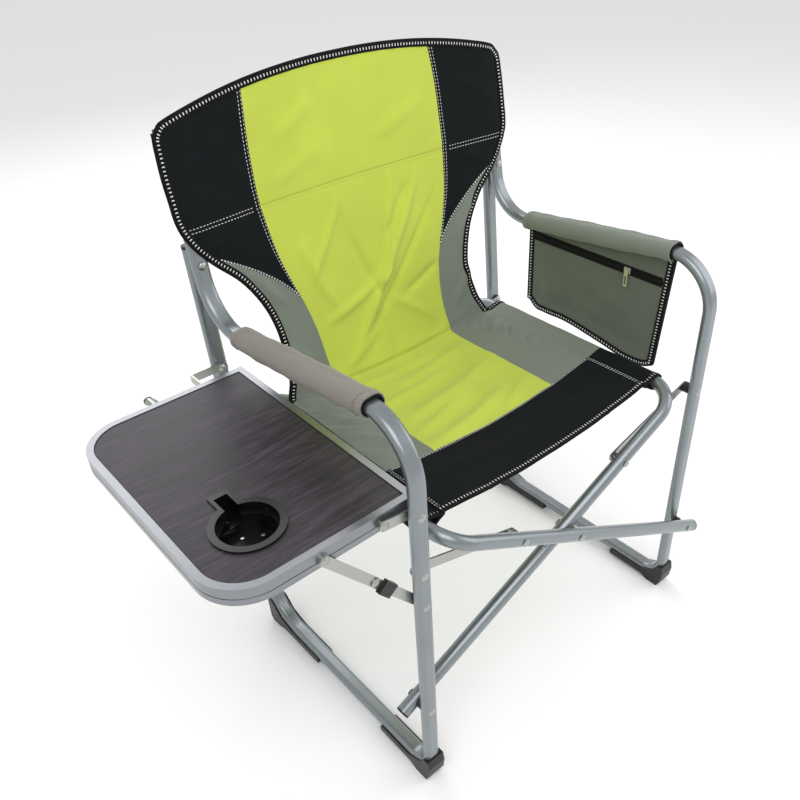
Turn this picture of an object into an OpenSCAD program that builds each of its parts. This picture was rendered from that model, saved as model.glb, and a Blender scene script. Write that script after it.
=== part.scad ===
// Folding camp chair with a fold-down side table.
// X runs across the chair (the table is on -X), Y runs from front (-Y) to back, Z is up.
// The origin is on the floor, midway between the side frames and between the legs.

/* [Side frames] */
// Half the distance between the two side frames, to the tube centres
half_w = 300; // [296:1:304]
// Width of the flat-oval side tube, across the chair
oval_w = 26; // [24:1:27]
// Thickness of the flat-oval side tube, in the plane of the frame
oval_t = 16; // [15:1:17]
// Wall thickness of every tube
wall = 1.5; // [1:0.1:2]
// Y of the front legs
front_y = -221; // [-224:1:-218]
// Y of the rear legs, carried down to the floor
rear_y = 221; // [218:1:224]
// Backward lean of the rear legs, in degrees
rear_lean = 3.6; // [3:0.1:4]
// Backward lean of the backrest tubes, in degrees
back_lean = 8.8; // [8:0.1:9]
// Height of the bottom rails' centre
rail_z = 20; // [19:1:22]
// Height of the armrest tube where its line meets the front leg
arm_z = 684; // [680:1:688]
// Fall of the armrest towards the back, in degrees
arm_slope = 6.5; // [6:0.1:7]
// Height of the top end of the rear legs
rear_top = 745; // [740:1:750]
// Height of the top end of the backrest tubes
back_top = 908; // [900:1:912]

/* [Bends] */
// Centreline radius of the front foot bend
foot_r = 38; // [34:1:42]
// Centreline radius of the rear heel bend
heel_r = 76; // [70:1:78]
// Centreline radius of the bend from front leg to armrest
arm_front_r = 80; // [74:1:84]
// Centreline radius of the bend from armrest to backrest
arm_rear_r = 75; // [70:1:78]
// Centreline radius of the cross members' bends
seat_r = 50; // [44:1:52]

/* [Cross members] */
// Outside diameter of the round cross members
round_d = 22; // [20:1:22]
// Height of the lower pivots
pivot_z = 166; // [162:1:170]
// Angle of the cross members above the floor, open, in degrees
open_angle = 28.8; // [28:0.1:29.5]
// Angle of the cross members above the floor, folded, in degrees
folded_angle = 73; // [71:1:73]
// X of the seat rails' centres
rail_x = 252; // [248:1:253]
// Y of the seat rails' rear corner
seat_rear_y = 250; // [248:1:252]
// Distance in Y between a leg's centre and the cross member riveted to it
side_step = 28; // [27:0.5:30]
// Length of cross member beyond its lower pivot
tail = 28; // [24:1:30]
// Distance along a cross member from the centre pivot to its link rivet
link_s = 139.2; // [138:0.1:140]

/* [Table] */
// Height of the table's top face
table_z = 570; // [566:1:572]
// X of the table's inner edge
table_in = -290; // [-292:1:-289]
// X of the table's outer edge
table_out = -555; // [-565:1:-545]
// Y of the table's front side
table_front = -205.5; // [-206:0.5:-205]
// Y of the table's rear side
table_rear = 199.5; // [196:0.5:201]
// Radius of the table's two outer corners
table_corner = 65; // [55:1:75]
// Height of the aluminium edge
edge_h = 25; // [24:1:26]
// Width of the aluminium edge
edge_w = 10; // [9:1:11]
// X of the cup holder's axis
cup_x = -467; // [-470:1:-464]
// Y of the cup holder's axis
cup_y = -112; // [-116:1:-108]
// Inside radius of the cup
cup_r = 38; // [36:1:39]
// Depth of the cup below the table's top
cup_depth = 39; // [36:1:50]
// Distance from the leg's centre to the table's hinge
hinge_out = 44; // [43:1:45]
// Distance from the table's hinge to the strut's rivet
strut_out = 85; // [84:1:86]

/* [Sling] */
// Thickness of the sling fabric
cloth = 3; // [2:0.5:3]
// Y of the seat's front edge
seat_front = -176; // [-178:1:-174]
// Y of the seat's rear edge
seat_back = 196; // [190:1:198]
// Slope of each half of the seat down to the middle, in degrees
seat_sag = 5; // [4:0.5:6]
// Half the fold gap along the middle of the seat
seat_gap = 28; // [26:0.5:30]
// Slope of each half of the back to the rear, in degrees
back_sag = 5; // [4:0.5:6]
// Half the fold gap along the middle of the back
back_gap = 27; // [26:0.5:30]
// Height of the bottom of the back
back_low = 497; // [495:1:500]
// Height of the top of the back at its middle
back_high = 958; // [950:1:960]

/* [Hidden] */
$fn = 48;

paint = [0.66, 0.70, 0.73];
zinc = [0.80, 0.82, 0.80];
black = [0.10, 0.10, 0.11];
alu = [0.75, 0.76, 0.80];
taupe = [0.58, 0.55, 0.51];
khaki = [0.45, 0.48, 0.42];
lime = [0.72, 0.80, 0.28];
wood = [0.27, 0.23, 0.26];

pin_r = 3.5;
bore_r = pin_r + 0.05;
head_r = 6;
head_h = 2.4;
link_w = 16;
link_t = 2.5;
strut_w = 14;
strut_t = 2;
plate_t = 2.5;
gap = 0.3;
member_half = round_d / 2 + 0.8;
hair = 0.1;
sleeve_t = 3;

// Side frame, in its own plane: points are [y, z]
function rear_leg_y(z) = rear_y + z * tan(rear_lean);
back_y_at_rear_top = rear_leg_y(rear_top) - oval_t - 0.8;
function back_y(z) = back_y_at_rear_top + (z - rear_top) * tan(back_lean);
function arm_height(y) = arm_z - (y - front_y) * tan(arm_slope);
back_corner_z = (arm_z - tan(arm_slope) * (back_y_at_rear_top - tan(back_lean) * rear_top - front_y))
    / (1 + tan(back_lean) * tan(arm_slope));
side_points = [
    [back_y(back_top), back_top],
    [back_y(back_corner_z), back_corner_z],
    [front_y, arm_z],
    [front_y, rail_z],
    [rear_leg_y(rail_z), rail_z],
    [rear_leg_y(rear_top), rear_top]
];
side_radii = [0, arm_rear_r, arm_front_r, foot_r, heel_r, 0];
back_rivet_z = rear_top - 21;

// Cross members, seen from the front
cross_z = pivot_z + half_w * tan(open_angle);
lower_s = half_w / cos(open_angle);
upper_s = rail_x / cos(open_angle);
seat_rail_z = cross_z + rail_x * tan(open_angle);
link_x = link_s * cos(open_angle);
link_pin_z = cross_z + link_s * sin(open_angle);
// Leg pivot height that gives the link one length, open and folded
link_z = pivot_z
    + 2 * lower_s * link_s * (sin(open_angle) + sin(folded_angle)) / (lower_s + link_s);
// Y of the members' diagonals where they meet the legs
rear_pivot_y = rear_leg_y(pivot_z);
member_front_y = [front_y - side_step, front_y + side_step];
member_rear_y = [rear_pivot_y - side_step, rear_pivot_y + side_step];
function slide(y_leg, y_rail, s) = y_rail + (y_leg - y_rail) * (upper_s - s) / (upper_s + lower_s);
function front_diagonal(k, s) = slide(member_front_y[k], front_y, s);
function rear_diagonal(k, s) = slide(member_rear_y[k], seat_rear_y, s);

// Planes of the four links, given as the Y of each bar's front face
front_left_plane = front_diagonal(0, link_s) + round_d / 2 + 6.5;
front_right_plane = front_diagonal(1, link_s) + round_d / 2 + 3;
rear_left_plane = rear_diagonal(0, link_s) - round_d / 2 - 3 - link_t;
rear_right_plane = rear_diagonal(1, link_s) - round_d / 2 - 3 - link_t;

// Table and its two folding struts, seen from the front as [x, z]
hinge_z = 556;
hinge_point = [-half_w - hinge_out, hinge_z];
strut_top = [hinge_point[0] - strut_out, hinge_z];
strut_foot = [-half_w, 393];
strut_length = norm(strut_top - strut_foot);
lower_length = 0.495 * strut_length;
elbow = strut_foot + (strut_top - strut_foot) * lower_length / strut_length;
plate_rivet_z = 551;
front_lower_plane = front_y + oval_t / 2 + gap;
front_upper_plane = front_lower_plane + strut_t + gap;
rear_lower_plane = rear_leg_y(strut_foot[1]) - oval_t / 2 - 1 - strut_t;
rear_upper_plane = rear_lower_plane - gap - strut_t;
lock_start = 10;
lock_length = 24;
board_t = 12;
cup_wall = 2;
flange_r = cup_r + 9;
flange_t = 3;
slot_w = 18;
slot_rear = cup_y + 72;
slot_floor_z = table_z - 26;
drain_ring_r = 25;

// Pocket and its zip, on the right armrest
pocket_front = -134;
pocket_rear = 148;
pocket_low = 462;
pocket_t = 6;
zip_z = 618;
zip_rest_y = -66;
stud_r = 1.2;
zip_face = half_w - pocket_t / 2 - 1;

function heading(p, q) = atan2(q[1] - p[1], q[0] - p[0]);
function wrap(a) = a > 180 ? a - 360 : a < -180 ? a + 360 : a;
function turn_at(pts, i) = wrap(heading(pts[i], pts[i + 1]) - heading(pts[i - 1], pts[i]));
function setback(pts, radii, i) =
    i == 0 || i == len(pts) - 1 ? 0 : radii[i] * tan(abs(turn_at(pts, i)) / 2);

// Sweeps a profile along straight runs joined by round bends. The first child is the profile
// of the straights, which lap over the ends of the bends, and child 1 that of the bends, a
// hair thinner.
module bend_along(pts, radii) {
    lap = 1;
    for (i = [0 : len(pts) - 2]) {
        h = heading(pts[i], pts[i + 1]);
        from = radii[i] == 0 ? 0 : setback(pts, radii, i) - lap;
        to = radii[i + 1] == 0 ? 0 : setback(pts, radii, i + 1) - lap;
        translate(pts[i] + from * [cos(h), sin(h)])
            rotate([90, 0, h + 90])
                linear_extrude(norm(pts[i + 1] - pts[i]) - from - to) children(0);
    }
    for (i = [1 : len(pts) - 2]) {
        h = heading(pts[i - 1], pts[i]);
        turn = turn_at(pts, i);
        side = turn > 0 ? 1 : -1;
        start = pts[i] - setback(pts, radii, i) * [cos(h), sin(h)];
        centre = start + side * radii[i] * [-sin(h), cos(h)];
        translate(centre)
            rotate([0, 0, turn > 0 ? h - 90 : h + 90 + turn])
                rotate_extrude(angle = abs(turn)) translate([radii[i], 0]) children(1);
    }
}

module oval(w, t) {
    square([t, w - t], center = true);
    for (k = [-1, 1]) translate([0, k * (w - t) / 2]) circle(d = t);
}

// Walls of the two tubes, changed by a hair where the straights lap over the bends
module oval_wall(hair) {
    difference() {
        oval(oval_w + hair, oval_t + hair);
        oval(oval_w - 2 * wall - hair, oval_t - 2 * wall - hair);
    }
}

module round_wall(hair) {
    difference() {
        circle(d = round_d + hair);
        circle(d = round_d - 2 * wall - hair);
    }
}

// Turns a drawing of [y, z] into the plane across X
module to_side() {
    rotate([90, 0, 90]) children();
}

// Turns a drawing of [x, z] so that its thickness runs from y0 towards +Y
module to_front(y0) {
    translate([0, y0, 0]) rotate([90, 0, 0]) mirror([0, 0, 1]) children();
}

module dome(r, h) {
    ball = (r * r + h * h) / (2 * h);
    intersection() {
        translate([0, 0, h - ball]) sphere(ball);
        cylinder(r = r + 1, h = h);
    }
}

// A rivet along Y between two faces, with a domed head on each end
module rivet(x, z, y0, y1, r = pin_r, front_head = true, rear_head = true) {
    translate([x, y0, z]) rotate([-90, 0, 0]) {
        cylinder(r = r, h = y1 - y0);
        if (front_head) mirror([0, 0, 1]) dome(head_r, head_h);
        if (rear_head) translate([0, 0, y1 - y0]) dome(head_r, head_h);
    }
}

module bore(x, z, y0, y1) {
    translate([x, y0, z]) rotate([-90, 0, 0]) cylinder(r = bore_r, h = y1 - y0);
}

module washer(x, z, y0, y1, r = 9) {
    translate([x, y0, z]) rotate([-90, 0, 0]) difference() {
        cylinder(r = r, h = y1 - y0);
        translate([0, 0, -1]) cylinder(r = bore_r, h = y1 - y0 + 2);
    }
}

// A flat bar between two points in [x, z], with a bore at each listed point
module flat_bar(p, q, width, y0, thick, holes) {
    h = heading(p, q);
    to_front(y0) difference() {
        union() {
            translate(p) cylinder(d = width, h = thick);
            translate(q) cylinder(d = width, h = thick);
            translate(p) rotate([0, 0, h]) translate([0, -width / 2, 0])
                cube([norm(q - p), width, thick]);
        }
        for (c = holes) translate([c[0], c[1], -1]) cylinder(r = bore_r, h = thick + 2);
    }
}

// Side frames. side is -1 for the left frame and 1 for the right one.
module side_sweep(grow) {
    to_side() bend_along(side_points, side_radii) {
        oval(oval_w + 2 * grow + hair, oval_t + 2 * grow + hair);
        oval(oval_w + 2 * grow, oval_t + 2 * grow);
    }
}

// Heights of the rivets through the front leg, and through the rear leg
function leg_rivets(side) =
    side < 0 ? [pivot_z, strut_foot[1], link_z, plate_rivet_z] : [pivot_z, link_z];

module side_tube(side) {
    color(paint) difference() {
        translate([side * half_w, 0, 0]) to_side() bend_along(side_points, side_radii) {
            oval_wall(0);
            oval_wall(-hair);
        }
        for (z = leg_rivets(side)) {
            bore(side * half_w, z, front_y - oval_t, front_y + oval_t);
            bore(side * half_w, z, rear_leg_y(z) - oval_t, rear_leg_y(z) + oval_t);
        }
        bore(side * half_w, back_rivet_z, back_y(back_rivet_z) - oval_t,
            rear_leg_y(back_rivet_z) + oval_t);
    }
}

// Plastic plug in the top end of the backrest tube
module tube_plugs(side) {
    color(black) translate([side * half_w, back_y(back_top), back_top])
        rotate([-back_lean, 0, 0]) {
            linear_extrude(3) rotate(90) oval(oval_w, oval_t);
            translate([0, 0, -12]) linear_extrude(12)
                rotate(90) oval(oval_w - 2 * wall - 0.2, oval_t - 2 * wall - 0.2);
        }
}

// Plastic cap over the top end of the rear leg
module leg_cap(side) {
    color(black) translate([side * half_w, rear_leg_y(rear_top), rear_top])
        rotate([-rear_lean, 0, 0]) {
            linear_extrude(5) rotate(90) oval(oval_w, oval_t);
            translate([0, 0, -14]) linear_extrude(14)
                rotate(90) oval(oval_w - 2 * wall - 0.2, oval_t - 2 * wall - 0.2);
        }
}

// Channel under a bend, with a wedge that meets the floor
module foot_channel(side, outline) {
    color(black) translate([side * half_w, 0, 0]) difference() {
        to_side() translate([0, 0, -oval_w / 2 - 3]) linear_extrude(oval_w + 6)
            polygon(outline);
        side_sweep(0.1);
    }
}

module front_foot(side) {
    foot_channel(side, [
        [front_y - 10, 50], [front_y - 13, 34], [front_y - 10, 12], [front_y - 4, 0],
        [front_y + 20, 0], [front_y + 34, 8], [front_y + 108, 8], [front_y + 112, 14],
        [front_y + 108, rail_z], [front_y + 38, rail_z], [front_y + 12, 32], [front_y, 50]
    ]);
}

module rear_foot(side) {
    foot_channel(side, [
        [rear_y - 150, rail_z], [rear_y - 154, 14], [rear_y - 150, 8], [rear_y - 40, 8],
        [rear_y - 26, 0], [rear_y - 2, 0], [rear_y + 4, 6], [rear_y + 6, 54],
        [rear_y - 8, 54], [rear_y - 32, 30], [rear_y - 70, rail_z]
    ]);
}

function leg_back(z) = rear_leg_y(z) + oval_t / 2 + 0.7;
function leg_front(z) = rear_leg_y(z) - oval_t / 2 - 0.7;

// Rivets and pivot pins that the left frame carries
module left_pivot_pins() {
    x = -half_w;
    leg = front_y - oval_t / 2;
    color(zinc) {
        rivet(x, pivot_z, leg, member_front_y[1] + member_half);
        rivet(x, pivot_z, leg_front(pivot_z), member_rear_y[1] + member_half);
        rivet(x, link_z, leg, front_left_plane + link_t + gap);
        rivet(x, link_z, rear_left_plane - gap, leg_back(link_z));
        rivet(x, strut_foot[1], leg, front_lower_plane + strut_t + gap);
        rivet(x, strut_foot[1], rear_lower_plane - gap, leg_back(strut_foot[1]));
        rivet(x, plate_rivet_z, leg, front_y + oval_t / 2 + plate_t);
        rivet(x, plate_rivet_z, leg_front(plate_rivet_z) - plate_t, leg_back(plate_rivet_z));
        rivet(x, back_rivet_z, back_y(back_rivet_z) - oval_t / 2 - 1.2, leg_back(back_rivet_z));
        rivet(hinge_point[0], hinge_z, front_y + oval_t / 2, table_front + edge_w - 0.5,
            rear_head = false);
        rivet(hinge_point[0], hinge_z, table_rear - edge_w + 0.5, table_rear + 1 + plate_t,
            front_head = false);
    }
}

module right_pivot_pins() {
    x = half_w;
    color(zinc) {
        rivet(x, pivot_z, member_front_y[0] - member_half, front_y + oval_t / 2);
        rivet(x, pivot_z, member_rear_y[0] - member_half, leg_back(pivot_z));
        rivet(x, link_z, front_y - oval_t / 2, front_right_plane + link_t + gap);
        rivet(x, link_z, rear_right_plane - gap, leg_back(link_z));
        rivet(x, back_rivet_z, back_y(back_rivet_z) - oval_t / 2 - 1.2, leg_back(back_rivet_z));
    }
}

// Black plastic spacers between the legs and what pivots on them
module left_spacers() {
    x = -half_w;
    color(black) {
        washer(x, pivot_z, front_y + oval_t / 2, member_front_y[1] - member_half);
        washer(x, pivot_z, leg_back(pivot_z), member_rear_y[1] - member_half);
        washer(x, link_z, front_y + oval_t / 2, front_left_plane - gap);
        washer(x, link_z, rear_left_plane + link_t + gap, leg_front(link_z));
    }
}

module right_spacers() {
    x = half_w;
    color(black) {
        washer(x, pivot_z, member_front_y[0] + member_half, front_y - oval_t / 2);
        washer(x, pivot_z, member_rear_y[0] + member_half, leg_front(pivot_z));
        washer(x, link_z, front_y + oval_t / 2, front_right_plane - gap);
        washer(x, link_z, rear_right_plane + link_t + gap, leg_front(link_z));
    }
}

// Steel plates on the left legs that carry the table's hinge pins. The rear one is cranked
// forward to reach the table.
module left_hinge_plates() {
    leg_pin = [-half_w, plate_rivet_z];
    rear_plate = leg_front(plate_rivet_z) - plate_t;
    eye = table_rear + 1;
    arm_x = hinge_point[0] - 9;
    low = hinge_z - 9;
    high = 14;
    color(zinc) {
        flat_bar(leg_pin, hinge_point, 15, front_y + oval_t / 2, plate_t, [leg_pin, hinge_point]);
        difference() {
            union() {
                translate([arm_x, rear_plate, low]) cube([leg_pin[0] - arm_x, plate_t, high]);
                to_front(rear_plate) translate(leg_pin) cylinder(d = 19, h = plate_t);
                translate([arm_x, eye, low]) cube([plate_t, rear_plate + plate_t - eye, high]);
                translate([arm_x, eye, low]) cube([9, plate_t, high]);
                to_front(eye) translate(hinge_point) cylinder(d = 16, h = plate_t);
            }
            bore(leg_pin[0], leg_pin[1], rear_plate - 1, rear_plate + plate_t + 1);
            bore(hinge_point[0], hinge_z, eye - 1, eye + plate_t + 1);
        }
    }
}

// Sleeve round a stretch of side tube, from p to q in [y, z]
module oval_sleeve(side, p, q) {
    translate([side * half_w, 0, 0]) to_side() bend_along([p, q], [0, 0]) difference() {
        oval(oval_w + 2 * sleeve_t, oval_t + 2 * sleeve_t);
        oval(oval_w + 0.2, oval_t + 0.2);
    }
}

sleeve_front_y = -130;
sleeve_rear_y = 158;
module arm_sleeve(side) {
    oval_sleeve(side, [sleeve_front_y, arm_height(sleeve_front_y)],
        [sleeve_rear_y, arm_height(sleeve_rear_y)]);
}

sleeve_low_z = 776;
module back_sleeve(side) {
    color(black)
        oval_sleeve(side, [back_y(sleeve_low_z), sleeve_low_z], [back_y(back_top), back_top]);
}

// Zipped bag that hangs from the right arm sleeve
module pocket() {
    under = oval_t / 2 + sleeve_t + 0.7;
    color(khaki) translate([half_w - pocket_t / 2, 0, 0]) to_side() linear_extrude(pocket_t)
        polygon([
            [pocket_front, pocket_low + 4], [pocket_front + 20, pocket_low],
            [30, pocket_low + 14], [pocket_rear - 30, pocket_low + 10],
            [pocket_rear - 6, pocket_low + 22], [pocket_rear, pocket_low + 45],
            [pocket_rear, arm_height(pocket_rear) - under],
            [pocket_front, arm_height(pocket_front) - under]
        ]);
}

module pocket_zip() {
    color(black) translate([zip_face, pocket_front, zip_z - 8])
        cube([1, pocket_rear - pocket_front, 16]);
}

// Slider with a stud that its puller hangs on
module zip_slider() {
    x = zip_face - gap;
    color(zinc) {
        translate([x - 2.5, zip_rest_y - 6, zip_z - 5]) cube([2.5, 12, 10]);
        translate([x - 6.4, zip_rest_y, zip_z]) rotate([0, 90, 0]) {
            cylinder(r = 2.2, h = 0.8);
            cylinder(r = stud_r, h = 4.2);
        }
    }
}

module zip_puller() {
    x = zip_face - gap - 5.2;
    color(zinc) difference() {
        union() {
            translate([x, zip_rest_y - 3.5, zip_z - 28]) cube([1.6, 7, 28]);
            translate([x, zip_rest_y, zip_z]) rotate([0, 90, 0]) cylinder(r = 3.5, h = 1.6);
        }
        translate([x - 1, zip_rest_y, zip_z]) rotate([0, 90, 0])
            cylinder(r = stud_r + 0.06, h = 4);
        translate([x - 1, zip_rest_y - 1.7, zip_z - 24]) cube([4, 3.4, 15]);
    }
}

// Cross members. k is 0 for the member whose seat rail is on the left.
module place_member(k) {
    mirror([k == 0 ? 1 : 0, 0, 0])
        translate([0, 0, cross_z]) rotate([0, -open_angle, 0]) children();
}

function member_points(k) = [
    [-lower_s - tail, front_diagonal(k, -lower_s - tail)],
    [upper_s, front_y],
    [upper_s, seat_rear_y],
    [-lower_s - tail, rear_diagonal(k, -lower_s - tail)]
];

module member(k) {
    end = k == 0 ? 1 : -1;
    top = -end;
    color(paint) difference() {
        place_member(k) bend_along(member_points(k), [0, seat_r, seat_r, 0]) {
            round_wall(0);
            round_wall(-hair);
        }
        for (y = [member_front_y[k], member_rear_y[k]])
            bore(end * half_w, pivot_z, y - round_d, y + round_d);
        for (y = [front_diagonal(k, 0), rear_diagonal(k, 0)])
            bore(0, cross_z, y - round_d, y + round_d);
        for (y = [front_diagonal(k, link_s), rear_diagonal(k, link_s)])
            bore(top * link_x, link_pin_z, y - round_d, y + round_d);
    }
}

// Plugs with a rounded lip in the lower ends
module member_caps(k) {
    color(black) place_member(k)
        for (e = [0, 3]) {
            p = member_points(k)[e];
            q = member_points(k)[e == 0 ? 1 : 2];
            translate([p[0], p[1], 0]) rotate([0, 0, heading(p, q)]) rotate([0, 90, 0]) {
                cylinder(r = round_d / 2 - wall - 0.1, h = 12);
                translate([0, 0, -3]) cylinder(r = round_d / 2, h = 3);
            }
        }
}

// Rivets for the links and, on the right member, the centre pivot
module member_rivets(k) {
    top = k == 0 ? -1 : 1;
    half_d = member_half;
    front_link = k == 0 ? front_left_plane : front_right_plane;
    rear_link = (k == 0 ? rear_left_plane : rear_right_plane) + link_t;
    front_c = front_diagonal(k, link_s);
    rear_c = rear_diagonal(k, link_s);
    color(zinc) {
        rivet(top * link_x, link_pin_z, front_c - half_d, front_link - gap, rear_head = false);
        rivet(top * link_x, link_pin_z, rear_link + gap, rear_c + half_d, front_head = false);
        if (k == 1) {
            rivet(0, cross_z, front_diagonal(0, 0) - half_d, front_diagonal(1, 0) + half_d);
            rivet(0, cross_z, rear_diagonal(0, 0) - half_d, rear_diagonal(1, 0) + half_d);
        }
    }
    color(black) {
        washer(top * link_x, link_pin_z, front_c + half_d, front_link - gap, 8);
        washer(top * link_x, link_pin_z, rear_link + gap, rear_c - half_d, 8);
        if (k == 1)
            for (y = [[front_diagonal(0, 0), front_diagonal(1, 0)],
                      [rear_diagonal(0, 0), rear_diagonal(1, 0)]])
                washer(0, cross_z, y[0] + half_d, y[1] - half_d, 9);
    }
}

module seat_sleeve(k) {
    color(khaki) mirror([k == 0 ? 1 : 0, 0, 0])
        translate([rail_x, seat_front, seat_rail_z]) rotate([-90, 0, 0]) difference() {
            cylinder(r = round_d / 2 + 2.6, h = seat_back - seat_front);
            translate([0, 0, -1])
                cylinder(r = round_d / 2 + 0.5, h = seat_back - seat_front + 2);
        }
}

// Links between the legs and the members. Each turns on its leg.
module link(side, y0, head_front) {
    p = [side * half_w, link_z];
    q = [side * link_x, link_pin_z];
    color(zinc) {
        flat_bar(p, q, link_w, y0, link_t, [p]);
        translate([q[0], head_front ? y0 : y0 + link_t, q[1]])
            rotate([head_front ? 90 : -90, 0, 0]) dome(head_r, head_h);
    }
}

// Half of the seat, hinged on its rail and sloping down to the middle
module seat_half(side) {
    start = round_d / 2 + 3;
    reach = (rail_x - seat_gap) / cos(seat_sag);
    color(lime) translate([side * rail_x, seat_front, seat_rail_z])
        mirror([side < 0 ? 0 : 1, 0, 0]) rotate([0, seat_sag, 0])
            translate([start, 0, 6]) cube([reach - start, seat_back - seat_front, cloth]);
}

// Half of the back, hinged on its backrest tube and sloping to the rear.
// The outline is [distance from the tube, height along the tube].
module back_half(side) {
    lean_low = (back_low - back_corner_z) / cos(back_lean);
    lean_side = (back_top + 6 - back_corner_z) / cos(back_lean);
    lean_high = (back_high - back_corner_z) / cos(back_lean);
    sleeve_low = (sleeve_low_z - back_corner_z) / cos(back_lean);
    start = oval_w / 2 + sleeve_t + 1;
    reach = (half_w - back_gap) / cos(back_sag);
    color(black) translate([side * half_w, back_y(back_corner_z), back_corner_z])
        rotate([-back_lean, 0, 0]) mirror([side < 0 ? 0 : 1, 0, 0]) rotate([0, 0, back_sag])
            translate([0, cloth / 2, 0]) rotate([90, 0, 0]) linear_extrude(cloth)
                polygon([
                    [start, lean_side], [start, sleeve_low + 2], [46, sleeve_low - 24],
                    [64, sleeve_low - 100], [80, lean_low + 112], [112, lean_low + 54],
                    [150, lean_low + 12], [180, lean_low],
                    [reach, lean_low], [reach, lean_high], [150, lean_high - 14]
                ]);
}

// Table
module table_outline(inset) {
    r = table_corner - inset;
    x0 = table_out + inset;
    x1 = table_in - inset;
    y0 = table_front + inset;
    y1 = table_rear - inset;
    translate([x0 + r, y0]) square([x1 - x0 - r, y1 - y0]);
    translate([x0, y0 + r]) square([r + 1, y1 - y0 - 2 * r]);
    for (y = [y0 + r, y1 - r]) translate([x0 + r, y]) circle(r);
}

module cup_outline(r, w) {
    translate([cup_x, cup_y]) circle(r);
    translate([cup_x - w / 2, cup_y]) square([w, slot_rear - cup_y - 6]);
}

module table_board() {
    color(wood) difference() {
        translate([0, 0, table_z - 1 - board_t]) linear_extrude(board_t)
            table_outline(edge_w + 1.2);
        translate([0, 0, table_z - 60]) linear_extrude(70)
            cup_outline(cup_r + cup_wall + 1, slot_w + 2 * cup_wall + 2);
    }
}

module table_gasket() {
    color(black) translate([0, 0, table_z - 1 - board_t]) linear_extrude(board_t + 0.4)
        difference() {
            table_outline(edge_w);
            table_outline(edge_w + 1.2);
        }
}

module table_edge() {
    low = table_z - edge_h;
    groove_z = low + 9;
    color(alu) difference() {
        union() {
            translate([0, 0, low]) linear_extrude(groove_z - low) table_outline(0);
            translate([0, 0, groove_z]) linear_extrude(1.5) table_outline(0.8);
            translate([0, 0, groove_z + 1.5]) linear_extrude(table_z - groove_z - 1.5)
                table_outline(0);
        }
        translate([0, 0, table_z - 1 - board_t]) linear_extrude(board_t + 2)
            table_outline(edge_w);
        translate([0, 0, low - 1]) linear_extrude(edge_h) table_outline(edge_w + 8);
        for (y = [table_front - 1, table_rear - edge_w - 1])
            bore(hinge_point[0], hinge_z, y, y + edge_w + 2);
        for (y = [table_front - 1, table_rear - edge_w - 1])
            bore(strut_top[0], hinge_z, y, y + edge_w + 2);
    }
}

module table_rivets() {
    front_face = front_upper_plane - gap;
    rear_face = rear_upper_plane + strut_t + gap;
    color(zinc) {
        rivet(strut_top[0], hinge_z, front_face, table_front + edge_w - 0.5, rear_head = false);
        rivet(strut_top[0], hinge_z, table_rear - edge_w + 0.5, rear_face, front_head = false,
            rear_head = false);
    }
    color(black) {
        washer(strut_top[0], hinge_z, front_upper_plane + strut_t + gap, table_front, 8);
        washer(strut_top[0], hinge_z, table_rear, rear_upper_plane - gap, 6);
    }
}

module cup_holder() {
    top = table_z - 1;
    floor_z = table_z - cup_depth;
    outer_w = slot_w + 2 * cup_wall;
    color(black) difference() {
        union() {
            translate([0, 0, top]) linear_extrude(flange_t) {
                translate([cup_x, cup_y]) circle(flange_r);
                translate([cup_x - outer_w / 2 - 3, cup_y])
                    square([outer_w + 6, slot_rear - cup_y]);
            }
            translate([cup_x, cup_y, floor_z - cup_wall])
                cylinder(r = cup_r + cup_wall, h = cup_depth + cup_wall - 0.5);
            translate([cup_x - outer_w / 2, cup_y, slot_floor_z - cup_wall])
                cube([outer_w, slot_rear - cup_y - 6, table_z - slot_floor_z + cup_wall - 0.5]);
        }
        // Cup, with a step part way down
        translate([cup_x, cup_y, table_z - 14]) cylinder(r = cup_r, h = 20);
        translate([cup_x, cup_y, floor_z]) cylinder(r = cup_r - 3, h = cup_depth);
        translate([cup_x - slot_w / 2, cup_y, slot_floor_z])
            cube([slot_w, slot_rear - cup_y - 8, 40]);
        for (a = [30, 90, 210, 270])
            translate([cup_x + drain_ring_r * cos(a), cup_y + drain_ring_r * sin(a), floor_z - 5])
                cylinder(r = 2.5, h = 10);
    }
}

// Struts. Each has a lower link on the leg and an upper link on the table.
module lower_strut(y0, rivet_front) {
    color(zinc) {
        flat_bar(strut_foot, elbow, strut_w, y0, strut_t, [strut_foot]);
        translate([elbow[0], rivet_front ? y0 : y0 + strut_t, elbow[1]])
            rotate([rivet_front ? 90 : -90, 0, 0]) dome(head_r - 0.5, 2);
    }
}

module upper_strut(y0) {
    color(zinc) flat_bar(strut_top, elbow, strut_w, y0, strut_t, [strut_top]);
}

// Slide lock that hooks round the edges of the lower link
module strut_lock(y0, outside) {
    depth = 5;
    along = heading(elbow, strut_foot);
    color(black) to_front(y0) translate(elbow) rotate([0, 0, along])
        translate([lock_start, 0, 0]) {
            z0 = outside < 0 ? -depth - gap : strut_t + gap;
            translate([0, -strut_w / 2 - 3, z0]) cube([lock_length, strut_w + 6, depth]);
            for (k = [-1, 1])
                translate([0, k * (strut_w / 2 + 1.7) - 1.3, outside < 0 ? -gap - 0.1 : 0])
                    cube([lock_length, 2.6, strut_t + gap + 0.1]);
        }
}

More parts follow.
